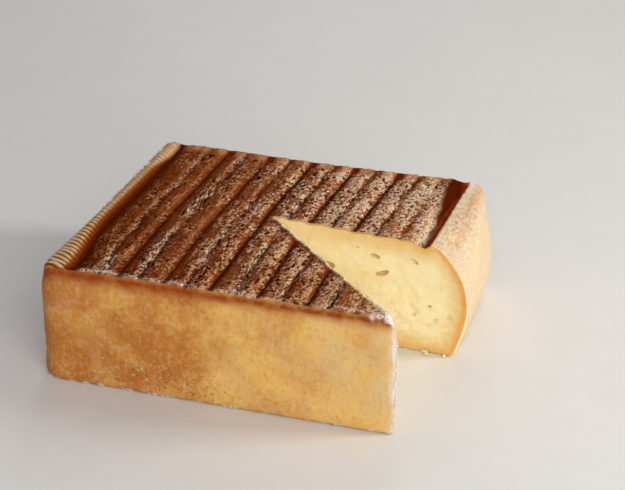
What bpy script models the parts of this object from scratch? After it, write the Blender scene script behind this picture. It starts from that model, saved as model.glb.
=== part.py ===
"""A washed-rind cheese block with a wedge-shaped notch cut out of its right end.

The block is one solid that stands on z = 0 with its long front face towards -Y. Ridges
pressed by a drying rack run front to back across its top, and the notch runs from the
middle of the block to its right end and its front right corner.
"""

import math
import random

import bmesh
import bpy

MM = 0.001

# The outline of the top in plan and the height of the top.
HEIGHT = 41.0 * MM
LEFT = -64.6 * MM
RIGHT = 54.8 * MM
HALF_DEPTH = 56.2 * MM

# Rounded corners in plan, keyed by their side in X and in Y, and the rounded edges.
CORNER_RADII = {(-1, -1): 6.5 * MM, (1, -1): 2.5 * MM, (-1, 1): 4.5 * MM, (1, 1): 2.5 * MM}
SHOULDER_RADIUS = 2.2 * MM
FOOT_RADIUS = 1.6 * MM

# How far each side swells outside the top outline, the height where it swells most, and
# how the swelling tapers off upwards, downwards and towards the right end's corners.
BELLY_HEIGHT = 18.0 * MM
BELLY_RIGHT = 12.2 * MM
BELLY_LEFT = 2.0 * MM
BELLY_FRONT = 1.0 * MM
BELLY_BACK = 0.8 * MM
RIGHT_LOSS_FRONT = 0.42
RIGHT_LOSS_BACK = 0.45
FOOT_SHARE_RIGHT = 0.6
FOOT_SHARE = 0.9
TAPER_UP = 2.5
TAPER_DOWN = 1.5
TAPER_TO_CORNER = 2.5

# Behind this depth the right end turns into a square shoulder over a straight side that
# leans outwards down to a lower belly, fully so at the back corner.
SQUARE_START = 8.0 * MM
BELLY_HEIGHT_BACK = 15.0 * MM
LEAN_BACK = 0.6
TAPER_UP_BACK = 16.0

# The hollow band under the crust's lip on the front and back.
BAND_HEIGHT = 36.0 * MM
BAND_HALF_WIDTH = 2.2 * MM
BAND_DEPTH = 0.7 * MM

# Grooves pressed by the rack's bars, from right to left: place, depth, and the widths of
# the left and right walls. The first is the deep one beside the right shoulder.
GROOVES = (
    (50.6 * MM, 1.8 * MM, 2.4 * MM, 1.9 * MM),
    (41.9 * MM, 0.25 * MM, 1.0 * MM, 2.4 * MM),
    (33.1 * MM, 0.35 * MM, 1.0 * MM, 2.6 * MM),
    (25.0 * MM, 0.5 * MM, 1.3 * MM, 3.4 * MM),
    (16.9 * MM, 0.35 * MM, 1.1 * MM, 2.6 * MM),
    (8.6 * MM, 0.5 * MM, 1.3 * MM, 3.4 * MM),
    (1.2 * MM, 0.35 * MM, 1.2 * MM, 2.4 * MM),
    (-7.6 * MM, 0.55 * MM, 1.3 * MM, 3.4 * MM),
    (-15.8 * MM, 0.35 * MM, 1.1 * MM, 2.4 * MM),
    (-24.0 * MM, 0.5 * MM, 1.3 * MM, 3.0 * MM),
    (-32.4 * MM, 0.25 * MM, 1.1 * MM, 2.4 * MM),
    (-39.8 * MM, 0.55 * MM, 1.4 * MM, 3.0 * MM),
    (-46.6 * MM, 0.2 * MM, 1.2 * MM, 2.2 * MM),
)
CREST_HEIGHT = 0.2 * MM
CREST_OFFSET = 2.4

# The rack's marks bow to the right at the front and back, and fill up beside the edges.
BOW_FRONT = 2.0 * MM
BOW_BACK = 0.9 * MM
BOW_MIDDLE = 7.0 * MM
END_FILL = 0.8
END_WIDTH = 3.0 * MM
DEEP_GROOVE_FRONT = -38.0 * MM
DEEP_GROOVE_FADE = 12.0 * MM

# The corded roll along the left edge and the groove on its inner side.
ROLL_GROOVE = -57.2 * MM
ROLL_GROOVE_DEPTH = 1.4 * MM
ROLL_GROOVE_WIDTH = 2.2 * MM
ROLL_HEIGHT = 0.8 * MM
ROLL_WIDTH = 2.4 * MM
ROLL_SWING = 4.2 * MM
ROLL_SWING_START = -12.0 * MM

# The lip that the crust forms along the front and back edges.
LIP_HEIGHT = 0.4 * MM
LIP_INSET = 2.4 * MM
LIP_WIDTH = 1.5 * MM
RELIEF_FADE_HEIGHT = 6.0 * MM

# Slow swells of a block that was turned by hand: heights, and waves in radians a metre.
SWELL_TOP = 0.3 * MM
TOP_LONG_WAVE = (47.0, 38.0)
TOP_SHORT_WAVE = (71.0, 96.0)
TOP_SHORT_SHARE = 0.4
TOP_PHASE = 1.0
SWELL_SIDE = 0.4 * MM
SIDE_LONG_WAVE = (74.0, 68.0, 120.0)
SIDE_LONG_SHARE = 0.5
SIDE_PHASE = 0.7
SIDE_SWAY = 2.0
SIDE_SWAY_WAVE = 90.0
SIDE_SHORT_WAVE = (55.0, 38.0, 410.0)
SIDE_SHORT_SHARE = 0.25

# The notch: its tip, the directions of its two straight cuts and how far they run.
TIP_X = -4.4 * MM
TIP_Y = 5.1 * MM
FAR_CUT_ANGLE = math.radians(-5.0)
NEAR_CUT_ANGLE = math.radians(-44.6)
CUT_REACH = 110.0 * MM
CUT_MARGIN = 6.0 * MM

# Eyes pressed into the cut faces: how many on each, the stretch they lie on, their sizes
# and shapes, and the shares of the block's height and of their own stretch they keep to.
EYES_FAR = 6
EYES_FAR_STRETCH = 54.0 * MM
EYES_NEAR = 9
EYES_NEAR_STRETCH = 76.0 * MM
EYES_START = 5.0 * MM
EYE_RADIUS = (1.0 * MM, 2.2 * MM)
EYE_LENGTH = (1.1, 1.5)
EYE_FLATNESS = 0.75
EYE_SINK = 0.2
EYE_LEVELS = (0.18, 0.85)
EYE_SPREAD = (0.2, 0.8)
EYE_TILT = 0.5
EYE_SEGMENTS = 8
EYE_RINGS = 6
EYE_SEED = 11

# Mesh cells across the ridges, front to back and up the sides, how far the last two crowd
# towards their ends, and the part of the underside, across and deep, that needs no cells.
COLUMNS = 110
ROWS = 20
LAYERS = 8
ROW_CROWDING = 0.72
PLAIN_ACROSS = 0.93
PLAIN_DEEP = 0.85

# The cube that the block is made from reaches from -1 to 1: the least length of its whole
# edges, and the level that its end faces lie beyond.
WHOLE_EDGE = 1.9
END_LEVEL = 0.999

CRUST_COLOUR = (0.25, 0.09, 0.032, 1.0)
CRUST_ROUGHNESS = 0.5
RIND_COLOUR = (0.62, 0.31, 0.085, 1.0)
RIND_ROUGHNESS = 0.55
PASTE_COLOUR = (0.80, 0.62, 0.25, 1.0)
PASTE_ROUGHNESS = 0.45


def clear_scene():
    for old in list(bpy.data.objects):
        bpy.data.objects.remove(old)


def collection_named(name):
    made = bpy.data.collections.new(name)
    bpy.context.scene.collection.children.link(made)
    return made


def material_named(name, colour, roughness):
    made = bpy.data.materials.new(name)
    made.use_nodes = True
    shader = made.node_tree.nodes["Principled BSDF"]
    shader.inputs["Base Color"].default_value = colour
    shader.inputs["Roughness"].default_value = roughness
    shader.inputs["Metallic"].default_value = 0.0
    return made


def bell(distance, width):
    return math.exp(-((distance / width) ** 2))


def smooth_step(value):
    held = min(1.0, max(0.0, value))
    return held * held * (3.0 - 2.0 * held)


def crowded(share):
    """Moves evenly spaced rows, given from -1 to 1, closer together towards both ends."""
    return share * (1.0 - ROW_CROWDING) + math.sin(share * math.pi / 2) * ROW_CROWDING


def bow(y):
    """How far the rack's marks bend to the right at this depth of the block."""
    if y < BOW_MIDDLE:
        return BOW_FRONT * ((BOW_MIDDLE - y) / (HALF_DEPTH + BOW_MIDDLE)) ** 2
    return BOW_BACK * ((y - BOW_MIDDLE) / (HALF_DEPTH - BOW_MIDDLE)) ** 2


def roll_swing(y):
    """How far the roll's inner groove swings inwards near the front."""
    return ROLL_SWING * smooth_step((ROLL_SWING_START - y) / (HALF_DEPTH + ROLL_SWING_START))


def rack_marks(x, y):
    """Height of the grooves and their crests over the flat top."""
    marks = 0.0
    for number, (place, depth, left_width, right_width) in enumerate(GROOVES):
        offset = x - place
        if number == 0:
            depth *= 1.0 - smooth_step((DEEP_GROOVE_FRONT - y) / DEEP_GROOVE_FADE)
        else:
            offset -= bow(y)
        marks -= depth * bell(offset, left_width if offset < 0 else right_width)
        marks += CREST_HEIGHT * bell(offset + CREST_OFFSET * left_width, left_width)
    return marks


def edge_roll(x, y):
    """Height of the corded roll and its groove over the flat top."""
    groove = ROLL_GROOVE + roll_swing(y)
    crest = (LEFT + groove) / 2
    sunk = ROLL_GROOVE_DEPTH * bell(x - groove, ROLL_GROOVE_WIDTH)
    return ROLL_HEIGHT * bell(x - crest, ROLL_WIDTH + roll_swing(y) / 3) - sunk


def top_relief(x, y):
    inset = HALF_DEPTH - abs(y)
    marks = (rack_marks(x, y) + edge_roll(x, y)) * (1.0 - END_FILL * bell(inset, END_WIDTH))
    swell = math.sin(x * TOP_LONG_WAVE[0] + TOP_PHASE) * math.cos(y * TOP_LONG_WAVE[1])
    swell += TOP_SHORT_SHARE * math.sin(x * TOP_SHORT_WAVE[0] + y * TOP_SHORT_WAVE[1])
    return marks + LIP_HEIGHT * bell(inset - LIP_INSET, LIP_WIDTH) + SWELL_TOP * swell


def side_swell(x, y, z):
    slow = math.sin(x * SIDE_LONG_WAVE[0] + SIDE_SWAY * math.sin(z * SIDE_SWAY_WAVE))
    slow += math.sin(y * SIDE_LONG_WAVE[1] + z * SIDE_LONG_WAVE[2] + SIDE_PHASE)
    quick = math.sin(x * SIDE_SHORT_WAVE[0] + y * SIDE_SHORT_WAVE[1] + z * SIDE_SHORT_WAVE[2])
    return SWELL_SIDE * (SIDE_LONG_SHARE * slow + SIDE_SHORT_SHARE * quick)


def round_pair(first, second):
    """Maps a square corner onto a round one: both lengths are measured into the corner."""
    length = math.hypot(first, second)
    shrink = max(first, second) / length if length > 0.0 else 1.0
    return first * shrink, second * shrink


def rounded_in_plan(x, y):
    """The point moved onto the rounded outline, the way out of the block, and its inset."""
    side_x = 1 if x > (LEFT + RIGHT) / 2 else -1
    side_y = 1 if y > 0 else -1
    edge_x = RIGHT if side_x > 0 else LEFT
    inset_x = abs(edge_x - x)
    inset_y = HALF_DEPTH - abs(y)
    radius = CORNER_RADII[(side_x, side_y)]
    into_x = radius - inset_x
    into_y = radius - inset_y
    if into_x > 0.0 and into_y > 0.0:
        round_x, round_y = round_pair(into_x, into_y)
        length = math.hypot(into_x, into_y)
        out = (side_x * into_x / length, side_y * into_y / length)
        x += side_x * (round_x - into_x)
        y += side_y * (round_y - into_y)
    elif inset_x <= inset_y:
        out = (side_x, 0.0)
    else:
        out = (0.0, side_y)
    return x, y, out, min(inset_x, inset_y)


def belly_share(z, foot_share, squared=0.0):
    """Share of the swelling at a height, with a round or a square shoulder above it."""
    widest = BELLY_HEIGHT + (BELLY_HEIGHT_BACK - BELLY_HEIGHT) * squared
    if z > widest:
        risen = (z - widest) / (HEIGHT - widest)
        lean = LEAN_BACK * squared
        taper_up = TAPER_UP + (TAPER_UP_BACK - TAPER_UP) * squared
        return 1.0 - lean * risen - (1.0 - lean) * risen ** taper_up
    return 1.0 - (1.0 - foot_share) * ((widest - z) / widest) ** TAPER_DOWN


def belly(out, y, z):
    """How far the side stands outside the top outline here, in X and in Y."""
    if out[0] > 0:
        loss = RIGHT_LOSS_BACK if y > 0 else RIGHT_LOSS_FRONT
        kept = 1.0 - loss * (abs(y) / HALF_DEPTH) ** TAPER_TO_CORNER
        squared = smooth_step((y - SQUARE_START) / (HALF_DEPTH - SQUARE_START))
        across = BELLY_RIGHT * kept * belly_share(z, FOOT_SHARE_RIGHT, squared)
    else:
        across = BELLY_LEFT * belly_share(z, FOOT_SHARE)
    along = (BELLY_BACK if out[1] > 0 else BELLY_FRONT) * belly_share(z, FOOT_SHARE)
    along -= BAND_DEPTH * bell(z - BAND_HEIGHT, BAND_HALF_WIDTH)
    return out[0] * across, out[1] * along


def rounded_edge(x, y, z, out, inset, radius, sign):
    """Rounds the edge between the side and the top (sign 1) or the foot (sign -1)."""
    across = radius - inset
    up = radius - (HEIGHT - z if sign > 0 else z)
    if across > 0.0 and up > 0.0:
        new_across, new_up = round_pair(across, up)
        x -= out[0] * (across - new_across)
        y -= out[1] * (across - new_across)
        z -= sign * (up - new_up)
    return x, y, z


def block_point(across, deep, up):
    """Where a point of the cube from -1 to 1 goes on the cheese block."""
    x = (LEFT + RIGHT) / 2 + across * (RIGHT - LEFT) / 2
    y = HALF_DEPTH * crowded(deep)
    z = HEIGHT * (1.0 + crowded(up)) / 2
    x, y, out, inset = rounded_in_plan(x, y)
    x, y, z = rounded_edge(x, y, z, out, inset, SHOULDER_RADIUS, 1)
    x, y, z = rounded_edge(x, y, z, out, inset, FOOT_RADIUS, -1)
    on_side = 1.0 - smooth_step(inset / SHOULDER_RADIUS)
    above_floor = smooth_step(z / (2 * FOOT_RADIUS))
    relief = top_relief(x, y)
    fade = smooth_step((z - HEIGHT + RELIEF_FADE_HEIGHT) / RELIEF_FADE_HEIGHT)
    swell = side_swell(x, y, z) * above_floor
    belly_x, belly_y = belly(out, y, z)
    x += (belly_x + out[0] * swell) * on_side
    y += (belly_y + out[1] * swell) * on_side
    return x, y, z + relief * fade


def block_mesh():
    """A cube cut into rows, with every point moved onto the block."""
    bm = bmesh.new()
    bmesh.ops.create_cube(bm, size=2.0)
    for axis, cells in enumerate((COLUMNS, ROWS, LAYERS)):
        along = [e for e in bm.edges if abs((e.verts[0].co - e.verts[1].co)[axis]) > WHOLE_EDGE]
        bmesh.ops.subdivide_edges(bm, edges=along, cuts=cells - 1, use_grid_fill=True)
    for face in bm.faces:
        face.material_index = 1 if face.calc_center_median().z > END_LEVEL else 0
        face.smooth = True
    under = [v for v in bm.verts if v.co.z < -END_LEVEL]
    plain = [v for v in under if abs(v.co.x) < PLAIN_ACROSS and abs(v.co.y) < PLAIN_DEEP]
    for vertex in bm.verts:
        vertex.co = block_point(*vertex.co)
    bmesh.ops.dissolve_verts(bm, verts=plain)
    bmesh.ops.triangulate(bm, faces=[f for f in bm.faces if len(f.verts) > 4])
    mesh = bpy.data.meshes.new("block")
    bm.to_mesh(mesh)
    bm.free()
    return mesh


def on_cut(angle, along, sideways=0.0):
    """The place in plan at this distance from the tip along a cut, moved to its left."""
    x = TIP_X + along * math.cos(angle) - sideways * math.sin(angle)
    y = TIP_Y + along * math.sin(angle) + sideways * math.cos(angle)
    return x, y


def cutter_object(name, bm, material, collection):
    mesh = bpy.data.meshes.new(name)
    bm.to_mesh(mesh)
    bm.free()
    mesh.materials.append(material)
    made = bpy.data.objects.new(name, mesh)
    made.hide_render = True
    made.display_type = "WIRE"
    collection.objects.link(made)
    return made


def notch_cutter(collection, material):
    """A three-sided prism whose upright faces are the two cuts of the notch."""
    near_end = on_cut(NEAR_CUT_ANGLE, CUT_REACH)
    far_end = on_cut(FAR_CUT_ANGLE, CUT_REACH)
    corners = ((TIP_X, TIP_Y), near_end, far_end)
    bm = bmesh.new()
    bmesh.ops.create_cone(bm, cap_ends=True, segments=3, radius1=1.0, radius2=1.0, depth=2.0)
    turns = sorted({round(math.atan2(v.co.y, v.co.x), 3) for v in bm.verts})
    for vertex in bm.verts:
        corner = corners[turns.index(round(math.atan2(vertex.co.y, vertex.co.x), 3))]
        z = HEIGHT + CUT_MARGIN if vertex.co.z > 0 else -CUT_MARGIN
        vertex.co = (*corner, z)
    bmesh.ops.recalc_face_normals(bm, faces=bm.faces)
    return cutter_object("notch", bm, material, collection)


def eye_cutters(collection, material, draw, angle, count, stretch, side):
    """Flattened balls spread along a cut, sunk a little behind it."""
    for number in range(count):
        radius = draw.uniform(*EYE_RADIUS)
        length = draw.uniform(*EYE_LENGTH)
        bm = bmesh.new()
        bmesh.ops.create_uvsphere(bm, u_segments=EYE_SEGMENTS, v_segments=EYE_RINGS, radius=radius)
        for vertex in bm.verts:
            vertex.co.x *= length
            vertex.co.y *= EYE_FLATNESS
        eye = cutter_object("eye", bm, material, collection)
        along = EYES_START + (stretch - EYES_START) * (number + draw.uniform(*EYE_SPREAD)) / count
        x, y = on_cut(angle, along, side * radius * EYE_SINK)
        eye.location = (x, y, HEIGHT * draw.uniform(*EYE_LEVELS))
        eye.rotation_euler = (0.0, draw.uniform(-EYE_TILT, EYE_TILT), angle)


def cut_away(target, name, cutter=None, collection=None):
    cut = target.modifiers.new(name, "BOOLEAN")
    cut.operation = "DIFFERENCE"
    cut.solver = "EXACT"
    cut.material_mode = "TRANSFER"
    if cutter is None:
        cut.operand_type = "COLLECTION"
        cut.collection = collection
    else:
        cut.object = cutter


def main():
    clear_scene()
    parts = collection_named("maroilles_cheese")
    notch_tools = collection_named("notch_cutter")
    eye_tools = collection_named("eye_cutters")
    crust = material_named("crust", CRUST_COLOUR, CRUST_ROUGHNESS)
    rind = material_named("rind", RIND_COLOUR, RIND_ROUGHNESS)
    paste = material_named("paste", PASTE_COLOUR, PASTE_ROUGHNESS)

    mesh = block_mesh()
    mesh.materials.append(rind)
    mesh.materials.append(crust)
    cheese = bpy.data.objects.new("cheese", mesh)
    parts.objects.link(cheese)

    draw = random.Random(EYE_SEED)
    notch = notch_cutter(notch_tools, paste)
    eye_cutters(eye_tools, paste, draw, FAR_CUT_ANGLE, EYES_FAR, EYES_FAR_STRETCH, 1)
    eye_cutters(eye_tools, paste, draw, NEAR_CUT_ANGLE, EYES_NEAR, EYES_NEAR_STRETCH, -1)
    cut_away(cheese, "cut notch", cutter=notch)
    cut_away(cheese, "press eyes", collection=eye_tools)


main()
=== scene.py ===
"""A washed-rind cheese block with a wedge-shaped notch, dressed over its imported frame.

Laid out as an add-on and run as a script. One operator models the block with its ridged
crust, washed rind and cut paste, one scatters the mould's bloom along the edges, one lays
crumbs at the foot of the cuts, and one sets the stage.
"""

import itertools
import math
from collections import namedtuple

import bpy
import numpy as np
from bpy.props import FloatProperty, FloatVectorProperty, IntProperty, PointerProperty
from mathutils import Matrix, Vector


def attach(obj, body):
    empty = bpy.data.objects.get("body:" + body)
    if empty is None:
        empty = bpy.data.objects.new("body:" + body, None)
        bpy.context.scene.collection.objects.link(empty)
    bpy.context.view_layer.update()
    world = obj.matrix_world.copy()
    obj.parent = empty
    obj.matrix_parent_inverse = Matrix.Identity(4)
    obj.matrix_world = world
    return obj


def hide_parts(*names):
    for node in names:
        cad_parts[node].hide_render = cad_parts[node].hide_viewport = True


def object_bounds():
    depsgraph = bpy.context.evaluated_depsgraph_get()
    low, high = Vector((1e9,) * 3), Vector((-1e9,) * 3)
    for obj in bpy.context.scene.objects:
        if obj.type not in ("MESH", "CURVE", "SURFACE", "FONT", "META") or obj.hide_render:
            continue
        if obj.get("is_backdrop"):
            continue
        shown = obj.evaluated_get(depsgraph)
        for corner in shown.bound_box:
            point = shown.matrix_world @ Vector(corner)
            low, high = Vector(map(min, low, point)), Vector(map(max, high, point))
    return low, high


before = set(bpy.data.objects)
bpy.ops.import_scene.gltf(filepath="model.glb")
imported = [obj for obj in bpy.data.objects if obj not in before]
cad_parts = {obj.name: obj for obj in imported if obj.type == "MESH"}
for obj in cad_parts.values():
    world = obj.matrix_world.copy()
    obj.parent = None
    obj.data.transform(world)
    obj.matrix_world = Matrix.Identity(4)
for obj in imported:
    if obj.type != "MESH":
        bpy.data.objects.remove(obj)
FRAME_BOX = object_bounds()

bl_info = {
    "name": "Washed-rind cheese block",
    "version": (1, 0, 0),
    "blender": (4, 5, 0),
    "location": "3D View > Sidebar > Cheese",
    "description": "Models a ridged washed-rind cheese block with a notch cut out of it",
    "category": "Add Mesh",
}

MM = 0.001
NODE = "cheese"
BODY = "root"

# Rounded corners in plan, keyed by their side in X and in Y, and the rounded edges.
CORNER_RADII = {(-1, -1): 6.5 * MM, (1, -1): 2.5 * MM, (-1, 1): 4.5 * MM, (1, 1): 2.5 * MM}
SHOULDER_RADIUS = 2.2 * MM
FOOT_RADIUS = 1.6 * MM

# How far each side swells outside the top outline, the height where it swells most, and
# how the swelling tapers off upwards, downwards and towards the right end's corners.
BELLY_HEIGHT = 18.0 * MM
BELLY_LEFT = 2.0 * MM
BELLY_FRONT = 1.0 * MM
BELLY_BACK = 0.8 * MM
RIGHT_LOSS_FRONT = 0.42
RIGHT_LOSS_BACK = 0.45
FOOT_SHARE_RIGHT = 0.6
FOOT_SHARE = 0.9
TAPER_UP = 2.5
TAPER_DOWN = 1.5
TAPER_TO_CORNER = 2.5

# Behind this depth the right end turns into a square shoulder over a straight side that
# leans outwards down to a lower belly, fully so at the back corner.
SQUARE_START = 8.0 * MM
BELLY_HEIGHT_BACK = 15.0 * MM
LEAN_BACK = 0.6
TAPER_UP_BACK = 16.0

# The hollow band under the crust's lip on the front and back.
BAND_HEIGHT = 36.0 * MM
BAND_HALF_WIDTH = 2.2 * MM
BAND_DEPTH = 0.7 * MM

# Grooves pressed by the rack's bars, from right to left: place, depth, widths of the left
# and right walls, all in millimetres, how dark the groove is, and how crinkled the skin
# beside it. The first is the deep wet one beside the right shoulder.
Groove = namedtuple("Groove", "place depth left_width right_width darkness crinkle")
GROOVES = tuple(
    Groove(place * MM, depth * MM, left_width * MM, right_width * MM, darkness, crinkle)
    for place, depth, left_width, right_width, darkness, crinkle in (
        (50.6, 1.8, 2.4, 1.9, 1.0, 0.0),
        (41.9, 0.25, 1.0, 2.4, 0.35, 0.3),
        (33.1, 0.35, 1.0, 2.6, 0.5, 1.0),
        (25.0, 0.5, 1.3, 3.4, 1.0, 0.0),
        (16.9, 0.35, 1.1, 2.6, 0.6, 0.8),
        (8.6, 0.5, 1.3, 3.4, 1.0, 0.0),
        (1.2, 0.35, 1.2, 2.4, 0.55, 0.9),
        (-7.6, 0.55, 1.3, 3.4, 1.0, 0.0),
        (-15.8, 0.35, 1.1, 2.4, 0.6, 0.9),
        (-24.0, 0.5, 1.3, 3.0, 0.9, 0.0),
        (-32.4, 0.25, 1.1, 2.4, 0.35, 1.0),
        (-39.8, 0.55, 1.4, 3.0, 0.9, 0.0),
        (-46.6, 0.2, 1.2, 2.2, 0.3, 0.5),
    )
)
DEEP_GROOVE = GROOVES[0]
CREST_HEIGHT = 0.2 * MM
CREST_OFFSET = 2.4
LIT_WIDTH = 1.8 * MM
FLOOR_OFFSET = 0.4 * MM

# Wider crinkled strips on the left panels: place, half width, front and back ends, strength,
# and, in millimetres, how far they take to fade at their ends.
STRIPS = (
    (-34.4 * MM, 1.8 * MM, -44.0 * MM, 44.0 * MM, 0.9),
    (-49.5 * MM, 2.6 * MM, -2.0 * MM, 48.0 * MM, 0.5),
    (-45.0 * MM, 2.6 * MM, -56.0 * MM, -34.0 * MM, 0.7),
)
STRIP_END = 6.0

# How far the marks bow to the right at the front and back, away from this depth, how much
# they fill up at the ends, and where the deep groove fades.
BOW_FRONT = 2.0 * MM
BOW_BACK = 0.9 * MM
BOW_MIDDLE = 7.0 * MM
END_FILL = 0.8
END_WIDTH = 3.0 * MM
DEEP_GROOVE_FRONT = -38.0 * MM
DEEP_GROOVE_FADE = 12.0 * MM
RIGHT_CREST = 53.2 * MM

# The corded roll along the left edge and the groove on its inner side.
ROLL_GROOVE = -57.2 * MM
ROLL_GROOVE_DEPTH = 1.4 * MM
ROLL_GROOVE_WIDTH = 2.2 * MM
ROLL_HEIGHT = 0.8 * MM
ROLL_WIDTH = 2.4 * MM
ROLL_SWING = 4.2 * MM
ROLL_SWING_START = -12.0 * MM
RIB_PITCH = 2.4
RIB_SLANT = 0.5
RIB_DEPTH = 0.45 * MM
CORD_REACH = 3.4 * MM
CORD_REACH_LOSS = 1.8 * MM
CORD_LOSS_START = 28.0 * MM

# The lip that the crust forms along the front and back edges.
LIP_HEIGHT = 0.4 * MM
LIP_INSET = 2.4 * MM
LIP_WIDTH = 1.5 * MM
RELIEF_FADE_HEIGHT = 6.0 * MM

# Slow swells, as on a block that was turned by hand: heights, and waves in radians a metre.
SWELL_TOP = 0.3 * MM
TOP_LONG_WAVE = (47.0, 38.0)
TOP_SHORT_WAVE = (71.0, 96.0)
TOP_SHORT_SHARE = 0.4
TOP_PHASE = 1.0
SWELL_SIDE = 0.4 * MM
SIDE_LONG_WAVE = (74.0, 68.0, 120.0)
SIDE_LONG_SHARE = 0.5
SIDE_PHASE = 0.7
SIDE_SWAY = 2.0
SIDE_SWAY_WAVE = 90.0
SIDE_SHORT_WAVE = (55.0, 38.0, 410.0)
SIDE_SHORT_SHARE = 0.25

# Fine relief of crust and rind: pleats across the ridges, crinkles along them, and grain.
PLEAT_PITCH = 1.25
PLEAT_DEPTH = 0.1 * MM
CRINKLE_DEPTH = 0.55 * MM
CRACK_DEPTH = 0.35 * MM
GRAIN_DEPTH = 0.13 * MM
RIM_FOLD = 0.16 * MM
RIND_GRAIN = 0.07 * MM
CRUMBLE_DEPTH = 0.45 * MM

# Marks of colour on the crust and rind. The wet deep groove starts here at the front, widens
# to the left towards the back, and has a swaying edge.
WET_LEFT = 48.6 * MM
WET_WIDENING = 4.6 * MM
WET_SWAY = 0.8 * MM

# Red-brown pockets at the grooves' back ends: how far right of the groove, how wide, and, in
# millimetres from the back edge, where they stop and start.
POCKET_OFFSET = 1.3 * MM
POCKET_WIDTH = 1.5 * MM
POCKET_BACK = 1.6
POCKET_FRONT = 8.4

# White mould: its start along the near cut, how far it hangs down under the roll, and where
# the dry line starts along the near cut, below and on top. The last three in millimetres.
KNIFE_BLOOM_START = 70.0 * MM
LEFT_MOULD_DROP = 13.0
FROST_DOWN_START = 84.0
FROST_TOP_START = 76.0

# The brown streak on the right end, outside the crest, and its drift towards the back.
STREAK_OFFSET = 6.2 * MM
STREAK_DRIFT = 2.2 * MM

# The notch: its tip, the directions of its two cuts, how far they run, and their grid.
# Their unevenness fades in over the last but one, in millimetres from the tip, and the tip is
# twice the last wide.
TIP_X = -4.4 * MM
TIP_Y = 5.1 * MM
FAR_CUT_ANGLE = math.radians(-5.0)
NEAR_CUT_ANGLE = math.radians(-44.6)
CUT_REACH = 100.0 * MM
CUT_MARGIN = 4.0 * MM
CUT_CELLS_ALONG = 130
CUT_CELLS_UP = 64
CUT_WAVE = 0.25 * MM
DENT_DEPTH = 0.45 * MM
TIP_FADE = 3.0
TIP_HALF_WIDTH = 0.12 * MM

# How many granules of the crust there are in a millimetre.
GRANULE_SCALE = 0.74

# The eyes in the cut faces: how far from the tip they start and end on each cut, in which
# share of the height they lie, how much rarer the large ones are, how deep their centres lie
# behind the face as a share of the radius, and how far apart they are kept in radii.
EYES_START = 5.0 * MM
FAR_EYES_END = 60.0 * MM
NEAR_EYES_END = 78.0 * MM
EYE_HEIGHTS = (0.12, 0.88)
EYE_RARITY = 2.6
EYE_SINK = 0.35
EYE_SPACING = 2.2

# An eye's least and most length, depth and height in radii, its lumps and its tilt.
EYE_LENGTH = (1.0, 1.7)
EYE_DEPTH = (0.9, 1.3)
EYE_HEIGHT = (0.6, 0.95)
EYE_LUMPS = 0.3
EYE_TILT = 0.6

# Mould grains stick to skin this mouldy, this near the rind in millimetres and this far above
# the floor, and are this much denser on the dry white line. Their centres stay this many
# radii above the floor, and the right crest has none above its foot.
BLOOM_LEAST = 0.45
FROST_LEAST = 0.5
FROST_DENSITY = 2.5
GRAIN_DEPTH_MOST = 1.9
GRAIN_FLOOR = 0.3 * MM
GRAIN_CLEARANCE = 1.3
CREST_FOOT = 38.0 * MM

# Crumbs lie between these distances from the tip, scattered this far from the cuts.
CRUMBS_START = 6.0 * MM
FAR_CRUMBS_END = 66.0 * MM
NEAR_CRUMBS_END = 84.0 * MM
CRUMB_SPREAD = 0.9 * MM

# Seeds of the random draws.
EYE_SEED = 44
GRAIN_SEED = 91
CRUMB_SEED = 95

# On the cube from -1 to 1 that a piece starts as: an edge runs along an axis from this share
# of its length on, a face is an outer one from this height on, and the underside's rows are
# joined within this reach of its middle, where faces bend less than this angle.
ALONG_AXIS = 0.99
OUTER_FACE = 0.999
UNDER_REACH = 0.96
FLAT_ANGLE = 0.01

# Below this angle between two faces their edge is shaded smooth.
SMOOTH_ANGLE = math.radians(62)

# The stage: the lights' names, places, sizes and tints, the point they face, and the sky.
LIGHTS = (
    ("key", (0.66, 0.16, 0.32), 0.2, (1.0, 0.96, 0.9)),
    ("fill", (0.45, -0.7, 0.45), 0.6, (1.0, 0.98, 0.96)),
    ("back", (-0.15, 0.75, 0.45), 0.35, (1.0, 0.97, 0.93)),
)
LIT_POINT = (0.0, 0.0, 20 * MM)
SKY_COLOUR = (0.9, 0.93, 1.0, 1.0)
SKY_STRENGTH = 0.35
FLOOR_SIZE = 6.0
FLOOR_DROP = 0.1 * MM
CAMERA_NEAREST = 0.01

# Mesh cells of the block: across the ridges, front to back, and up the sides.
COLUMNS = 220
ROWS = 140
LAYERS = 41


def srgb(red, green, blue):
    """A colour given as seen on screen, from 0 to 255, as linear values."""
    values = []
    for channel in (red, green, blue):
        share = channel / 255.0
        values.append(share / 12.92 if share <= 0.04045 else ((share + 0.055) / 1.055) ** 2.4)
    return tuple(values)


def length(name, description, default):
    return FloatProperty(name=name, description=description, default=default, unit="LENGTH", precision=4)


def angle(name, description, degrees):
    default = math.radians(degrees)
    return FloatProperty(name=name, description=description, default=default, subtype="ANGLE")


def colour(name, description, default):
    return FloatVectorProperty(
        name=name, description=description, default=default, subtype="COLOR", size=3, min=0.0, max=1.0
    )


class BlockSettings(bpy.types.PropertyGroup):
    height: length("Height", "Height of the flat top over the floor", 41.0 * MM)
    left: length("Left edge", "Where the top ends on the left", -64.6 * MM)
    right: length("Right edge", "Where the top ends on the right", 54.8 * MM)
    half_depth: length("Half depth", "From the middle of the top to its front and back edges", 56.2 * MM)
    belly_right: length("Right swelling", "How far the right end swells outside the top", 12.2 * MM)


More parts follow.
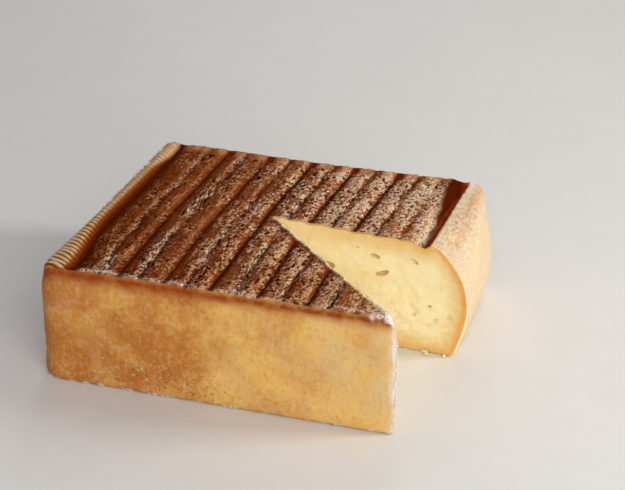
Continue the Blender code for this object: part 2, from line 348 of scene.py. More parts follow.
class CrustSettings(bpy.types.PropertyGroup):
    brown: colour("Brown", "Panels between the grooves", srgb(128, 60, 24))
    # Tan: lighter skin on the panels, also laid where the painted light is strong.
    tan: colour("Tan", "Lighter, drier skin on the panels", srgb(186, 120, 70))
    # Fleck: painted glints on the granules' tops, folds, beads and pleats.
    fleck: colour("Fleck", "Pale tops of the granules", srgb(248, 218, 184))
    # Crevice: painted shade in the cracks and gaps between the granules and at the grooves' bottoms.
    crevice_shade: colour("Crevice", "Cracks between the granules", srgb(36, 12, 2))
    # Groove: the wet skin's own colour, also the painted shade in the grooves and at the panels' darkest
    # level.
    groove: colour("Groove", "Wet skin in the grooves", srgb(78, 24, 2))
    pocket: colour("Pocket", "Groove ends at the back", srgb(108, 32, 3))
    ember: colour("Ember", "Red-brown wall of the deep groove", srgb(160, 50, 6))
    # Peach is also the painted highlight on the crests.
    peach: colour("Peach", "Ridge ends and crests", srgb(206, 142, 92))
    rime: colour("Rime", "Dry pink-white skin at the ridges' front ends", srgb(240, 206, 186))
    roll: colour("Roll", "Corded roll along the left edge", srgb(226, 184, 126))
    roll_slope: colour("Roll slope", "Inner side of the roll", srgb(146, 70, 16))
    # Sliver: the paste's thin edge, painted brighter as a highlight.
    sliver_highlight: colour("Sliver", "Thin edge of paste along the cuts", srgb(255, 238, 190))
    bloom: colour("Bloom", "White mould along the edges", srgb(226, 212, 196))
    frost: colour("Frost", "Dry white line down the knife edge", srgb(250, 246, 238))


class RindSettings(bpy.types.PropertyGroup):
    ochre: colour("Ochre", "Main colour of the front", srgb(208, 138, 62))
    amber: colour("Amber", "Darker patches", srgb(190, 117, 47))
    straw: colour("Straw", "Yellow patches", srgb(244, 196, 104))
    rose: colour("Rose", "Pink patches", srgb(216, 154, 108))
    # Band: painted shade under the crust's lip, in a darker orange.
    band: colour("Band", "Orange band under the crust", srgb(152, 62, 12))
    # Pit: painted shade in the hollows between the crumbled bumps, and brown speckle on the right end.
    pit: colour("Pit", "Hollows between the bumps", srgb(150, 86, 30))
    cream: colour("Cream", "The smooth right end", srgb(214, 193, 160))
    chalk: colour("Chalk", "Dry pale grain on the right end", srgb(236, 226, 206))
    stain: colour("Stain", "Streaks on the right end", srgb(196, 134, 86))


class PasteSettings(bpy.types.PropertyGroup):
    heart: colour("Heart", "Paste in the middle", srgb(246, 233, 190))
    butter: colour("Butter", "Paste nearer the rind", srgb(239, 220, 162))
    edge: colour("Edge", "Ripe paste under the rind", srgb(224, 172, 74))
    line: colour("Line", "Cut edge of the crust", srgb(176, 104, 44))
    side_line: colour("Side line", "Ripe band inside the side rind", srgb(232, 158, 74))
    # Eye: painted shade inside the eyes.
    eye: colour("Eye", "Moist paste inside the eyes", srgb(208, 158, 76))
    eyes_far: IntProperty(name="Far eyes", description="Eyes in the far cut", default=30, min=0)
    eyes_near: IntProperty(name="Near eyes", description="Eyes in the near cut", default=36, min=0)
    eye_least: length("Smallest eye", "Radius of the smallest eye", 0.35 * MM)
    eye_most: length("Largest eye", "Radius of the largest eye", 1.9 * MM)


class BloomSettings(bpy.types.PropertyGroup):
    grains: IntProperty(name="Grains", description="Grains of mould along the edges", default=900, min=1)
    radius: length("Grain radius", "Radius of an average grain", 0.26 * MM)


class CrumbSettings(bpy.types.PropertyGroup):
    crumbs: IntProperty(name="Crumbs", description="Crumbs at the foot of the cuts", default=70, min=1)
    radius: length("Crumb radius", "Radius of an average crumb", 0.55 * MM)


class StageSettings(bpy.types.PropertyGroup):
    floor: colour("Floor", "Colour of the floor", srgb(226, 223, 218))
    focal: FloatProperty(
        name="Focal length", description="Camera's focal length", default=115.2, unit="CAMERA",
    )
    azimuth: angle("Azimuth", "Way the camera looks, turned from the front", 18.35)
    elevation: angle("Elevation", "How far the camera looks down", 25.69)
    distance: length("Distance", "From the camera to the point it looks at", 717.8 * MM)
    target: FloatVectorProperty(
        name="Target", description="Point the camera looks at", default=(1.9 * MM, 28.2 * MM, 20.5 * MM),
        subtype="TRANSLATION", size=3,
    )
    key: FloatProperty(name="Key light", description="Light from the right", default=3.2, unit="POWER")
    fill: FloatProperty(name="Fill light", description="Light from the front", default=5.0, unit="POWER")
    back: FloatProperty(name="Back light", description="Light from behind", default=1.0, unit="POWER")


# Shape functions. They take arrays of places in metres and keep part.py's block form.


def bell(distance, width):
    """A smooth bump, 1 in the middle and falling off over a width."""
    return np.exp(-((distance / width) ** 2))


def smooth_step(value):
    """Rises smoothly from 0 to 1 where the value does."""
    held = np.clip(value, 0.0, 1.0)
    return held * held * (3.0 - 2.0 * held)


def ramp(distance, start, width):
    """Rises smoothly from 0 to 1 over a width, both it and the start in millimetres."""
    return smooth_step((distance / MM - start) / width)


def noise(places, cell, seed):
    """Smooth noise from -1 to 1. The cell's size is in millimetres, one number or three."""
    table = np.random.default_rng(seed).uniform(-1.0, 1.0, (32, 32, 32))
    scaled = places / (np.asarray(cell) * MM)
    base = np.floor(scaled).astype(int)
    part = scaled - base
    part = part * part * (3.0 - 2.0 * part)
    total = np.zeros(len(places))
    for corner in itertools.product((0, 1), repeat=3):
        index = (base + corner) % 32
        weight = np.prod(np.where(corner, part, 1.0 - part), axis=1)
        total += weight * table[index[:, 0], index[:, 1], index[:, 2]]
    return total


def flat_noise(x, y, cell, seed):
    return noise(np.column_stack((x, y, np.zeros(len(x)))), cell, seed)


def folds(values):
    """Turns noise into narrow raised folds, from 0 to 1."""
    return (1.0 - np.abs(values)) ** 3


def bow(y, block):
    """How far the rack's marks bend to the right at this depth of the block."""
    front = BOW_FRONT * ((BOW_MIDDLE - y) / (block.half_depth + BOW_MIDDLE)) ** 2
    back = BOW_BACK * ((y - BOW_MIDDLE) / (block.half_depth - BOW_MIDDLE)) ** 2
    return np.where(y < BOW_MIDDLE, front, back)


def roll_swing(y, block):
    """How far the roll's inner groove swings inwards near the front."""
    return ROLL_SWING * smooth_step((ROLL_SWING_START - y) / (block.half_depth + ROLL_SWING_START))


def groove_offsets(x, y, block):
    """Each groove's row of values with the signed distance across it."""
    wander = flat_noise(x, y, (6.0, 9.0, 1.0), 5) * 0.35 * MM
    for groove in GROOVES:
        yield groove, x - groove.place - (bow(y, block) + wander) * (groove is not DEEP_GROOVE)


def deep_share(y):
    """How much of the deep groove is left towards the front."""
    return 1.0 - smooth_step((DEEP_GROOVE_FRONT - y) / DEEP_GROOVE_FADE)


def rack_marks(x, y, block):
    """Height of the grooves and their crests over the flat top."""
    marks = np.zeros(len(x))
    for groove, offset in groove_offsets(x, y, block):
        share = deep_share(y) if groove is DEEP_GROOVE else 1.0
        width = np.where(offset < 0, groove.left_width, groove.right_width)
        marks -= share * groove.depth * bell(offset, width)
        marks += CREST_HEIGHT * bell(offset + CREST_OFFSET * groove.left_width, groove.left_width)
    return marks


def edge_roll(x, y, block):
    """Height of the corded roll and its groove over the flat top."""
    groove = ROLL_GROOVE + roll_swing(y, block)
    crest = (block.left + groove) / 2
    sunk = ROLL_GROOVE_DEPTH * bell(x - groove, ROLL_GROOVE_WIDTH)
    return ROLL_HEIGHT * bell(x - crest, ROLL_WIDTH + roll_swing(y, block) / 3) - sunk


def roll_mask(x, y, block):
    """The pale outer side of the roll."""
    groove = ROLL_GROOVE + roll_swing(y, block)
    reach = CORD_REACH - CORD_REACH_LOSS * ramp(y - CORD_LOSS_START, 0, 18)
    return ramp(groove - reach - x, -0.8, 1.6)


def corded(x, y, block):
    """The outer side of the roll, where the slanted cords run, faint on its inner side."""
    groove = ROLL_GROOVE + roll_swing(y, block)
    outer = ramp(groove - x, 1.4, 1.8)
    inner = ramp(groove - x, -0.6, 1.5)
    worn = 1.0 - 0.8 * ramp(y, -38, 34)
    return worn * (0.25 * inner + 0.75 * outer)


def pillow_light_share(x, y, block):
    """Painted light on the panels' right-facing flanks: from 0 on the right side of each groove to its
    highest at the next one's left wall.
    """
    marks = [(ROLL_GROOVE + roll_swing(y, block), 0.0)]
    leftmost_first = reversed(list(groove_offsets(x, y, block)))
    marks += [(x - offset, groove.darkness) for groove, offset in leftmost_first]
    risen = np.zeros(len(x))
    for (first, _), (second, strength) in zip(marks, marks[1:]):
        share = (x - first) / (second - first)
        inside = (share >= 0.0) & (share < 1.0)
        height = (0.45 + 0.55 * strength) * share * smooth_step((second - x) / LIT_WIDTH - 0.15)
        risen = np.where(inside, height, risen)
    return risen * np.clip(0.8 + 0.6 * flat_noise(x, y, (5.0, 12.0, 1.0), 29), 0.0, 1.3)


def cords(x, y):
    """A wave from -1 to 1 across the slanted cords of the roll."""
    warp = flat_noise(x, y, (9.0, 4.0, 1.0), 21)
    return np.sin(2 * math.pi * ((y + RIB_SLANT * x) / (RIB_PITCH * MM) + 0.32 * warp))


def crinkled(x, y, block):
    """The strips of crinkled skin: beside the shallow grooves and on the left panels."""
    strips = np.zeros(len(x))
    for groove, offset in groove_offsets(x, y, block):
        strips = np.maximum(strips, groove.crinkle * bell(offset + 0.5 * MM, 1.7 * MM))
    for place, half_width, front, back, strength in STRIPS:
        ends = ramp(y - front, 0, STRIP_END) * ramp(back - y, 0, STRIP_END)
        strips = np.maximum(strips, strength * ends * bell(x - place, half_width))
    broken = smooth_step(0.5 + 1.3 * flat_noise(x, y, (5.0, 11.0, 1.0), 23))
    return strips * (0.15 + 0.85 * broken)


def crack_line(x, y, block):
    """The thin cracks beside the beaded folds, and the beads' own line to their left."""
    sway = flat_noise(x, y, (2.2, 3.0, 1.0), 30) * 0.55 * MM
    cracks = np.zeros(len(x))
    beads = np.zeros(len(x))
    for groove, offset in groove_offsets(x, y, block):
        cracks = np.maximum(cracks, groove.crinkle * bell(offset - 0.2 * MM + sway, 0.5 * MM))
        beads = np.maximum(beads, groove.crinkle * bell(offset + 1.3 * MM + sway, 0.8 * MM))
    broken = smooth_step(0.7 + 1.1 * flat_noise(x, y, (7.0, 9.0, 1.0), 37))
    return cracks * broken, beads * broken


def pleats(x, y):
    """Narrow folds across the ridges, stronger on the right half."""
    warp = flat_noise(x, y, (8.0, 3.0, 1.0), 28)
    share = 0.25 + 0.75 * ramp(x, -4, 26)
    share = share * np.clip(0.6 + 0.9 * flat_noise(x, y, (5.0, 7.0, 1.0), 22), 0.0, 1.2)
    return share * np.sin(2 * math.pi * ((y + 0.12 * x) / (PLEAT_PITCH * MM) + 0.5 * warp))


def fine_crust(x, y, block):
    """Pleats, crinkles and grain of the crust, and the cords of the roll."""
    inset = block.half_depth - np.abs(y)
    warp = flat_noise(x, y, (8.0, 3.0, 1.0), 28)
    beads = folds(flat_noise(x, y, (1.3, 1.5, 1.0), 24))
    beads = beads + 0.5 * folds(flat_noise(x, y, (1.2, 4.0, 1.0), 25))
    grain = flat_noise(x, y, (1.5, 1.0, 1.0), 26) + 0.6 * flat_noise(x, y, (2.4, 1.9, 1.0), 27)
    rim_folds = np.sin(2 * math.pi * (inset / (1.5 * MM) + 0.7 * warp)) * (y < 0)
    rim_folds = rim_folds * bell(inset - 3 * MM, 2.2 * MM)
    crust = PLEAT_DEPTH * pleats(x, y) + GRAIN_DEPTH * grain + RIM_FOLD * rim_folds
    crust = crust + CRINKLE_DEPTH * crinkled(x, y, block) * (beads - 0.55)
    crust = crust - CRACK_DEPTH * crack_line(x, y, block)[0]
    in_cords = corded(x, y, block)
    off_slope = 1.0 - ramp(ROLL_GROOVE + roll_swing(y, block) - x, -2.2, 2)
    return crust * off_slope + RIB_DEPTH * cords(x, y) * in_cords


def top_relief(x, y, block):
    """Height of all that stands on the flat top or is sunk in it."""
    inset = block.half_depth - np.abs(y)
    marks = (rack_marks(x, y, block) + edge_roll(x, y, block)) * (1.0 - END_FILL * bell(inset, END_WIDTH))
    swell = np.sin(x * TOP_LONG_WAVE[0] + TOP_PHASE) * np.cos(y * TOP_LONG_WAVE[1])
    swell = swell + TOP_SHORT_SHARE * np.sin(x * TOP_SHORT_WAVE[0] + y * TOP_SHORT_WAVE[1])
    smooth_end = ramp(x - DEEP_GROOVE.place, -1.5, 2)
    fine = fine_crust(x, y, block) * (1.0 - 0.9 * smooth_end)
    return marks + LIP_HEIGHT * bell(inset - LIP_INSET, LIP_WIDTH) + SWELL_TOP * swell + fine


def side_swell(x, y, z):
    """Slow swells of the sides."""
    slow = np.sin(x * SIDE_LONG_WAVE[0] + SIDE_SWAY * np.sin(z * SIDE_SWAY_WAVE))
    slow = slow + np.sin(y * SIDE_LONG_WAVE[1] + z * SIDE_LONG_WAVE[2] + SIDE_PHASE)
    quick = np.sin(x * SIDE_SHORT_WAVE[0] + y * SIDE_SHORT_WAVE[1] + z * SIDE_SHORT_WAVE[2])
    return SWELL_SIDE * (SIDE_LONG_SHARE * slow + SIDE_SHORT_SHARE * quick)


def crumbled_patch(x, z):
    """Where the low middle of the front is broken into small bumps."""
    patch = bell(x + 20 * MM, 22 * MM) * bell(z - 8 * MM, 7 * MM)
    return patch + 0.3 * bell(z - 3 * MM, 3.5 * MM)


def fine_rind(places):
    """Grain, brush strokes and crumbled bumps of the sides."""
    x, y, z = places.T
    grain = noise(places, 2.2, 31) + 0.6 * noise(places, 1.0, 32)
    strokes = noise(places, (0.9, 0.9, 6.0), 33)
    bumps = folds(noise(places, 1.5, 34)) - 0.3 + 0.5 * noise(places, 0.9, 35)
    smooth_end = ramp(x, 50, 12)
    rind = RIND_GRAIN * (grain + 0.6 * strokes) * (1.0 - 0.6 * smooth_end)
    return rind + CRUMBLE_DEPTH * crumbled_patch(x, z) * bumps * (y < 0)


def round_pair(first, second):
    """Maps square corners onto round ones: both lengths are measured into the corner."""
    span = np.hypot(first, second)
    shrink = np.maximum(first, second) / np.where(span > 0.0, span, 1.0)
    rounded = (first > 0.0) & (second > 0.0)
    return np.where(rounded, first * shrink, first), np.where(rounded, second * shrink, second)


def rounded_in_plan(x, y, block):
    """Points moved onto the rounded outline, the way out of the block, and their inset."""
    side_x = np.where(x > (block.left + block.right) / 2, 1, -1)
    side_y = np.where(y > 0, 1, -1)
    edge_x = np.where(side_x > 0, block.right, block.left)
    radius = np.zeros(len(x))
    for (corner_x, corner_y), value in CORNER_RADII.items():
        radius[(side_x == corner_x) & (side_y == corner_y)] = value
    inset_x = np.abs(edge_x - x)
    inset_y = block.half_depth - np.abs(y)
    into_x = radius - inset_x
    into_y = radius - inset_y
    in_corner = (into_x > 0.0) & (into_y > 0.0)
    span = np.where(in_corner, np.hypot(into_x, into_y), 1.0)
    nearer_x = inset_x <= inset_y
    out_x = np.where(in_corner, side_x * into_x / span, np.where(nearer_x, side_x, 0))
    out_y = np.where(in_corner, side_y * into_y / span, np.where(nearer_x, 0, side_y))
    round_x, round_y = round_pair(into_x, into_y)
    x = x + side_x * (round_x - into_x)
    y = y + side_y * (round_y - into_y)
    return x, y, out_x, out_y, np.minimum(inset_x, inset_y)


def belly_share(z, foot_share, block, squared=0.0):
    """Share of the swelling at a height, with a round or a square shoulder above it."""
    widest = BELLY_HEIGHT + (BELLY_HEIGHT_BACK - BELLY_HEIGHT) * squared
    risen = np.clip(z - widest, 0.0, None) / (block.height - widest)
    lean = LEAN_BACK * squared
    taper_up = TAPER_UP + (TAPER_UP_BACK - TAPER_UP) * squared
    above = 1.0 - lean * risen - (1.0 - lean) * risen ** taper_up
    fallen = (np.clip(widest - z, 0.0, None) / widest) ** TAPER_DOWN
    return np.where(z > widest, above, 1.0 - (1.0 - foot_share) * fallen)


def belly(out_x, out_y, y, z, block):
    """How far the side stands outside the top outline, in X and in Y."""
    loss = np.where(y > 0, RIGHT_LOSS_BACK, RIGHT_LOSS_FRONT)
    right = block.belly_right * (1.0 - loss * (np.abs(y) / block.half_depth) ** TAPER_TO_CORNER)
    squared = smooth_step((y - SQUARE_START) / (block.half_depth - SQUARE_START))
    right = right * belly_share(z, FOOT_SHARE_RIGHT, block, squared)
    left = BELLY_LEFT * belly_share(z, FOOT_SHARE, block)
    along = np.where(out_y > 0, BELLY_BACK, BELLY_FRONT) * belly_share(z, FOOT_SHARE, block)
    along = along - BAND_DEPTH * bell(z - BAND_HEIGHT, BAND_HALF_WIDTH)
    return out_x * np.where(out_x > 0, right, left), out_y * along


def rounded_edge(x, y, z, out_x, out_y, inset, radius, sign, block):
    """Rounds the edge between the side and the top (sign 1) or the foot (sign -1)."""
    across = radius - inset
    up = radius - (block.height - z if sign > 0 else z)
    new_across, new_up = round_pair(across, up)
    x = x - out_x * (across - new_across)
    y = y - out_y * (across - new_across)
    return x, y, z - sign * (up - new_up)


def block_places(cube, block):
    """Where the points of a cube from -1 to 1 go on the cheese block."""
    x = (block.left + block.right) / 2 + cube[:, 0] * (block.right - block.left) / 2
    y = block.half_depth * cube[:, 1]
    z = block.height * (1.0 + cube[:, 2]) / 2
    x, y, out_x, out_y, inset = rounded_in_plan(x, y, block)
    x, y, z = rounded_edge(x, y, z, out_x, out_y, inset, SHOULDER_RADIUS, 1, block)
    x, y, z = rounded_edge(x, y, z, out_x, out_y, inset, FOOT_RADIUS, -1, block)
    on_side = 1.0 - smooth_step(inset / SHOULDER_RADIUS)
    above_floor = smooth_step(z / (2 * FOOT_RADIUS))
    relief = top_relief(x, y, block)
    fade = smooth_step((z - block.height + RELIEF_FADE_HEIGHT) / RELIEF_FADE_HEIGHT)
    swell = side_swell(x, y, z) * above_floor
    swell = swell + fine_rind(np.column_stack((x, y, z))) * (0.4 + 0.6 * above_floor)
    belly_x, belly_y = belly(out_x, out_y, y, z, block)
    x = x + (belly_x + out_x * swell) * on_side
    y = y + (belly_y + out_y * swell) * on_side
    return np.column_stack((x, y, z + relief * fade))


def turned(first, second, angle):
    """Two coordinates turned about the third axis."""
    return (
        first * math.cos(angle) - second * math.sin(angle),
        first * math.sin(angle) + second * math.cos(angle),
    )


def on_cut(angle, along, sideways=0.0):
    """The place in plan at this distance from the tip along a cut, moved to its left."""
    x, y = turned(along, sideways, angle)
    return TIP_X + x, TIP_Y + y


def along_cut(x, y, angle):
    """Distances along a cut from the tip and across it, to its left."""
    return turned(x - TIP_X, y - TIP_Y, -angle)


# Modelling with Blender's operators.


def deselect_all():
    for other in list(bpy.context.selected_objects):
        other.select_set(False)


def select_only(piece):
    deselect_all()
    piece.select_set(True)
    bpy.context.view_layer.objects.active = piece


def mesh_places(piece):
    values = np.empty(len(piece.data.vertices) * 3)
    piece.data.vertices.foreach_get("co", values)
    return values.reshape(-1, 3)


def set_places(piece, places):
    piece.data.vertices.foreach_set("co", places.reshape(-1))
    piece.data.update()


def subdivide_along(piece, axis, cuts, keep=None):
    """Cuts every edge that runs along an axis, or those whose middle passes keep."""
    select_only(piece)
    bpy.ops.object.mode_set(mode="EDIT")
    bpy.ops.mesh.select_mode(type="EDGE")
    bpy.ops.mesh.select_all(action="DESELECT")
    bpy.ops.object.mode_set(mode="OBJECT")
    places = mesh_places(piece)
    ends = np.empty(len(piece.data.edges) * 2, dtype=int)
    piece.data.edges.foreach_get("vertices", ends)
    first, second = places[ends[::2]], places[ends[1::2]]
    span = np.abs(first - second)
    chosen = span[:, axis] > ALONG_AXIS * span.sum(axis=1)
    if keep is not None:
        chosen &= keep((first + second) / 2)
    piece.data.edges.foreach_set("select", chosen)
    bpy.ops.object.mode_set(mode="EDIT")
    bpy.ops.mesh.subdivide(number_cuts=cuts)
    bpy.ops.object.mode_set(mode="OBJECT")


def flatten_under(piece):
    """Joins the flat faces of the underside, which needs no rows."""
    select_only(piece)
    bpy.ops.object.mode_set(mode="EDIT")
    bpy.ops.mesh.select_mode(type="FACE")
    bpy.ops.mesh.select_all(action="DESELECT")
    bpy.ops.object.mode_set(mode="OBJECT")
    centres = np.empty(len(piece.data.polygons) * 3)
    piece.data.polygons.foreach_get("center", centres)
    centres = centres.reshape(-1, 3)
    under = (centres[:, 2] < -OUTER_FACE) & (np.abs(centres[:, :2]).max(axis=1) < UNDER_REACH)
    piece.data.polygons.foreach_set("select", under)
    bpy.ops.object.mode_set(mode="EDIT")
    bpy.ops.mesh.dissolve_limited(angle_limit=FLAT_ANGLE)
    bpy.ops.object.mode_set(mode="OBJECT")


def cube_piece(name):
    deselect_all()
    bpy.ops.mesh.primitive_cube_add(size=2.0)
    piece = bpy.context.object
    piece.name = name
    piece.data.name = name
    return piece


def model_block(block):
    """A cube cut into rows and columns and moved into the block's shape."""
    piece = cube_piece("cheese_block")
    subdivide_along(piece, 0, COLUMNS // 2 - 1)
    subdivide_along(piece, 0, 1)
    subdivide_along(piece, 1, ROWS // 2 - 1)
    subdivide_along(piece, 1, 1)
    subdivide_along(piece, 2, LAYERS - 1)
    flatten_under(piece)
    subdivide_along(piece, 1, 1, keep=lambda middle: middle[:, 2] > OUTER_FACE)
    set_places(piece, block_places(mesh_places(piece), block))
    return piece


def cut_relief(along, up, seed):
    """Unevenness of a cut face, from the knife's drag and the tearing near the floor."""
    places = np.column_stack((along, up, np.zeros(len(along))))
    wave = noise(places, (16.0, 11.0, 1.0), seed) + 0.35 * noise(places, (3.0, 2.2, 1.0), seed + 1)
    drag = 0.18 * np.sin((up * 0.9 + along * 0.22) / (0.9 * MM) + 2.0 * noise(places, 9.0, seed + 2))
    torn = folds(noise(places, (1.6, 1.4, 1.0), seed + 3)) * (0.25 + 1.2 * bell(up, 9 * MM))
    dents = smooth_step((noise(places, (2.3, 1.8, 1.0), seed + 4) - 0.25) / 0.4)
    dents = dents * (0.25 + bell(up - 13 * MM, 9 * MM)) * ramp(along, 14, 10)
    return CUT_WAVE * (wave + drag + 0.8 * torn) + DENT_DEPTH * dents


def model_notch_cutter(block):
    """A wedge whose two upright faces carry the unevenness of the cuts."""
    cutter = cube_piece("notch_cutter")
    subdivide_along(cutter, 0, CUT_CELLS_ALONG // 2 - 1)
    subdivide_along(cutter, 0, 1)
    subdivide_along(cutter, 2, CUT_CELLS_UP - 1)
    cube = mesh_places(cutter)
    along = CUT_REACH * (cube[:, 0] + 1.0) / 2
    up = -CUT_MARGIN + (block.height + 2 * CUT_MARGIN) * (cube[:, 2] + 1.0) / 2
    tip_fade = ramp(along, 0, TIP_FADE)
    places = np.empty_like(cube)
    for side, angle, seed in ((1, FAR_CUT_ANGLE, 61), (-1, NEAR_CUT_ANGLE, 71)):
        chosen = cube[:, 1] * side > 0
        relief = side * cut_relief(along, up, seed) * tip_fade
        x, y = on_cut(angle, along, relief + side * TIP_HALF_WIDTH)
        places[chosen] = np.column_stack((x, y, up))[chosen]
    set_places(cutter, places)
    return cutter


def model_eye(place, radius, turn, draw):
    """One irregular bubble, longer than high."""
    deselect_all()
    bpy.ops.mesh.primitive_ico_sphere_add(subdivisions=3, radius=1.0)
    eye = bpy.context.object
    ball = mesh_places(eye)
    lumps = 1.0 + EYE_LUMPS * noise(ball * 9 * MM, 7.0, int(draw.integers(1000)))
    stretch = radius * np.array([draw.uniform(*span) for span in (EYE_LENGTH, EYE_DEPTH, EYE_HEIGHT)])
    tilt = draw.uniform(-EYE_TILT, EYE_TILT)
    x, y, z = (ball * lumps[:, None] * stretch).T
    x, z = turned(x, z, tilt)
    x, y = turned(x, y, turn)
    set_places(eye, np.column_stack((x, y, z)) + np.asarray(place))
    return eye


def model_eyes(block, paste):
    """All eyes of both cuts, joined into one cutter."""
    draw = np.random.default_rng(EYE_SEED)
    eyes = []
    taken = []
    cuts = (
        (FAR_CUT_ANGLE, paste.eyes_far, FAR_EYES_END, 1),
        (NEAR_CUT_ANGLE, paste.eyes_near, NEAR_EYES_END, -1),
    )
    for angle, count, end, side in cuts:
        made = 0
        while made < count:
            share = draw.uniform() ** EYE_RARITY
            radius = paste.eye_least + (paste.eye_most - paste.eye_least) * share
            along = draw.uniform(EYES_START, end)
            up = draw.uniform(*EYE_HEIGHTS) * block.height
            x, y = on_cut(angle, along, side * radius * draw.uniform(0.0, EYE_SINK))
            place = np.array([x, y, up])
            apart = [np.linalg.norm(place - other) / (radius + size) for other, size in taken]
            if min(apart, default=EYE_SPACING) < EYE_SPACING:
                continue
            taken.append((place, radius))
            eyes.append(model_eye(place, radius, angle, draw))
            made += 1
    deselect_all()
    for eye in eyes:
        eye.select_set(True)
    bpy.context.view_layer.objects.active = eyes[0]
    bpy.ops.object.join()
    cutter = bpy.context.object
    cutter.name = "eye_cutter"
    return cutter


def cut_away(piece, cutter):
    """Cuts a piece with another, whose material lines the cut."""
    select_only(piece)
    cut = piece.modifiers.new("cut", "BOOLEAN")
    cut.operation = "DIFFERENCE"
    cut.solver = "EXACT"
    cut.material_mode = "TRANSFER"
    cut.object = cutter
    bpy.ops.object.modifier_apply(modifier=cut.name)
    bpy.data.objects.remove(cutter)


# Masks that the materials read, worked out from where each point lies.


def over_edge(y, z, block):
    """How far in from the front or back edge on top, or how far down it (negative)."""
    return block.half_depth - np.abs(y) - np.clip(block.height - z, 0.0, None)


def groove_dark_and_shade_mask(x, y, block):
    """The dark floors of the grooves, a little to the right of their deepest lines: the wet skin's own dark
    colour and painted shade on the grooves' right walls.
    """
    dark = np.zeros(len(x))
    for groove, offset in groove_offsets(x, y, block):
        share = deep_share(y) if groove is DEEP_GROOVE else 1.0
        off_floor = offset - FLOOR_OFFSET
        left_width = 0.46 * groove.left_width
        right_width = (0.3 + 0.24 * groove.darkness) * groove.right_width
        floor = bell(off_floor, np.where(off_floor < 0, left_width, right_width))
        dark = np.maximum(dark, groove.darkness * share * floor)
    offset = x - ROLL_GROOVE - roll_swing(y, block) + 0.8 * MM
    return np.maximum(dark, bell(offset, np.where(offset < 0, 1.0 * MM, 1.7 * MM)))


def ember_mask(x, y):
    """The wet deep groove, wider towards the back, and its red-brown right wall."""
    left_end = WET_LEFT - WET_WIDENING * ramp(y, 2, 50)
    sway = flat_noise(x, y, (1.6, 5.0, 1.0), 38) + 0.25 * flat_noise(x, y, (0.9, 1.1, 1.0), 40)
    sway = WET_SWAY * sway
    wet = ramp(x - left_end + sway, 0, 3) * ramp(RIGHT_CREST - x, 0.1, 0.8) * deep_share(y)
    return wet, wet * ramp(x - DEEP_GROOVE.place + sway, -1, 2.6)


def pocket_mask(x, y, block):
    """Red-brown pockets where the grooves end at the back, and the skin beside the near cut."""
    inset = block.half_depth - y
    pockets = np.zeros(len(x))
    for groove, offset in groove_offsets(x, y, block):
        strength = 0.35 + 0.65 * groove.darkness
        pocket = smooth_step(1.6 - np.abs(offset - POCKET_OFFSET) / POCKET_WIDTH)
        pockets = np.maximum(pockets, strength * pocket)
    ragged = flat_noise(x, y, (1.8, 2.6, 1.0), 39) * 0.9 * MM
    ends = ramp(inset, POCKET_BACK, 0.8) * ramp(ragged - inset, -POCKET_FRONT, 3)
    along, across = along_cut(x, y, NEAR_CUT_ANGLE)
    beside_cut = bell(across + 1.9 * MM + 0.5 * ragged, 1.0 * MM) * ramp(along, 0, 4)
    beside_cut = 0.85 * beside_cut * ramp(-along, -62, 14)
    return np.maximum(pockets * ends, beside_cut)


def crest_highlight_mask(x, y, block):
    """Painted highlight on the lit ridge on the left of each groove."""
    crest = np.zeros(len(x))
    for groove, offset in groove_offsets(x, y, block):
        crest = np.maximum(crest, bell(offset + 1.5 * groove.left_width, 0.6 * MM))
    return crest


def cut_edge_highlight_mask(x, y, z, block):
    """The thin pale line along the top edges of the cuts: the paste's edge, painted brighter as a
    highlight.
    """
    near_along, near_across = along_cut(x, y, NEAR_CUT_ANGLE)
    far_along, far_across = along_cut(x, y, FAR_CUT_ANGLE)
    near = np.clip(1.35 * bell(near_across, 0.7 * MM), 0.0, 1.0) * (near_along > 0)
    far = 0.6 * bell(far_across, 0.4 * MM) * ramp(far_along, 44, 8)
    return np.maximum(near, far) * (z > block.height - 3 * MM)


def bloom_mask(x, y, z, ragged, block):
    """White mould: under and on the roll, at the foot, the knife edge and the right crest."""
    under_top = z - block.height
    near_along, near_across = along_cut(x, y, NEAR_CUT_ANGLE)
    knife_edge = bell(near_across, 1.3 * MM) * (near_along > KNIFE_BLOOM_START)
    foot = bell(z, 1.1 * MM) * smooth_step(0.55 + ragged)
    left_side = ramp(block.left - x, -0.5, 0.9) * smooth_step(0.35 + 1.3 * ragged)
    left_side = left_side * ramp(under_top, -LEFT_MOULD_DROP, 11)
    roll_edge = ramp(block.left - x, -2.2, 1.4) * ramp(y, -24, 24)
    roll_edge = roll_edge * smooth_step(0.45 + 1.2 * ragged) * (under_top > -4 * MM)
    crest_width = 0.7 * MM + 1.0 * MM * ramp(y, 20, 30)
    crest_line = bell(x - RIGHT_CREST - 0.4 * MM, crest_width) * ramp(under_top, -3, 2)
    corner = ramp(x, 45, 5) * bell(-y - 56 * MM, 2.4 * MM)
    corner = corner * ramp(under_top, -3, 2) * smooth_step(0.4 + 1.4 * ragged)
    bloom = np.maximum.reduce([knife_edge, foot, left_side, roll_edge, 0.8 * crest_line, 0.8 * corner])
    return np.clip(bloom * (0.8 + 0.5 * ragged), 0.0, 1.0)


def frost_mask(x, y, z, ragged, block):
    """The dry white line down the knife edge and along its end of the near cut's top edge."""
    near_along, near_across = along_cut(x, y, NEAR_CUT_ANGLE)
    down = bell(near_across, (1.1 + 0.5 * ragged) * MM) * ramp(near_along, FROST_DOWN_START, 3)
    above = bell(near_across, (0.8 + 0.5 * ragged) * MM) * ramp(near_along, FROST_TOP_START, 6)
    above = above * ramp(z - block.height, -3, 1.5)
    return np.clip(np.maximum(down, above) * (1.15 + 0.5 * ragged), 0.0, 1.0)


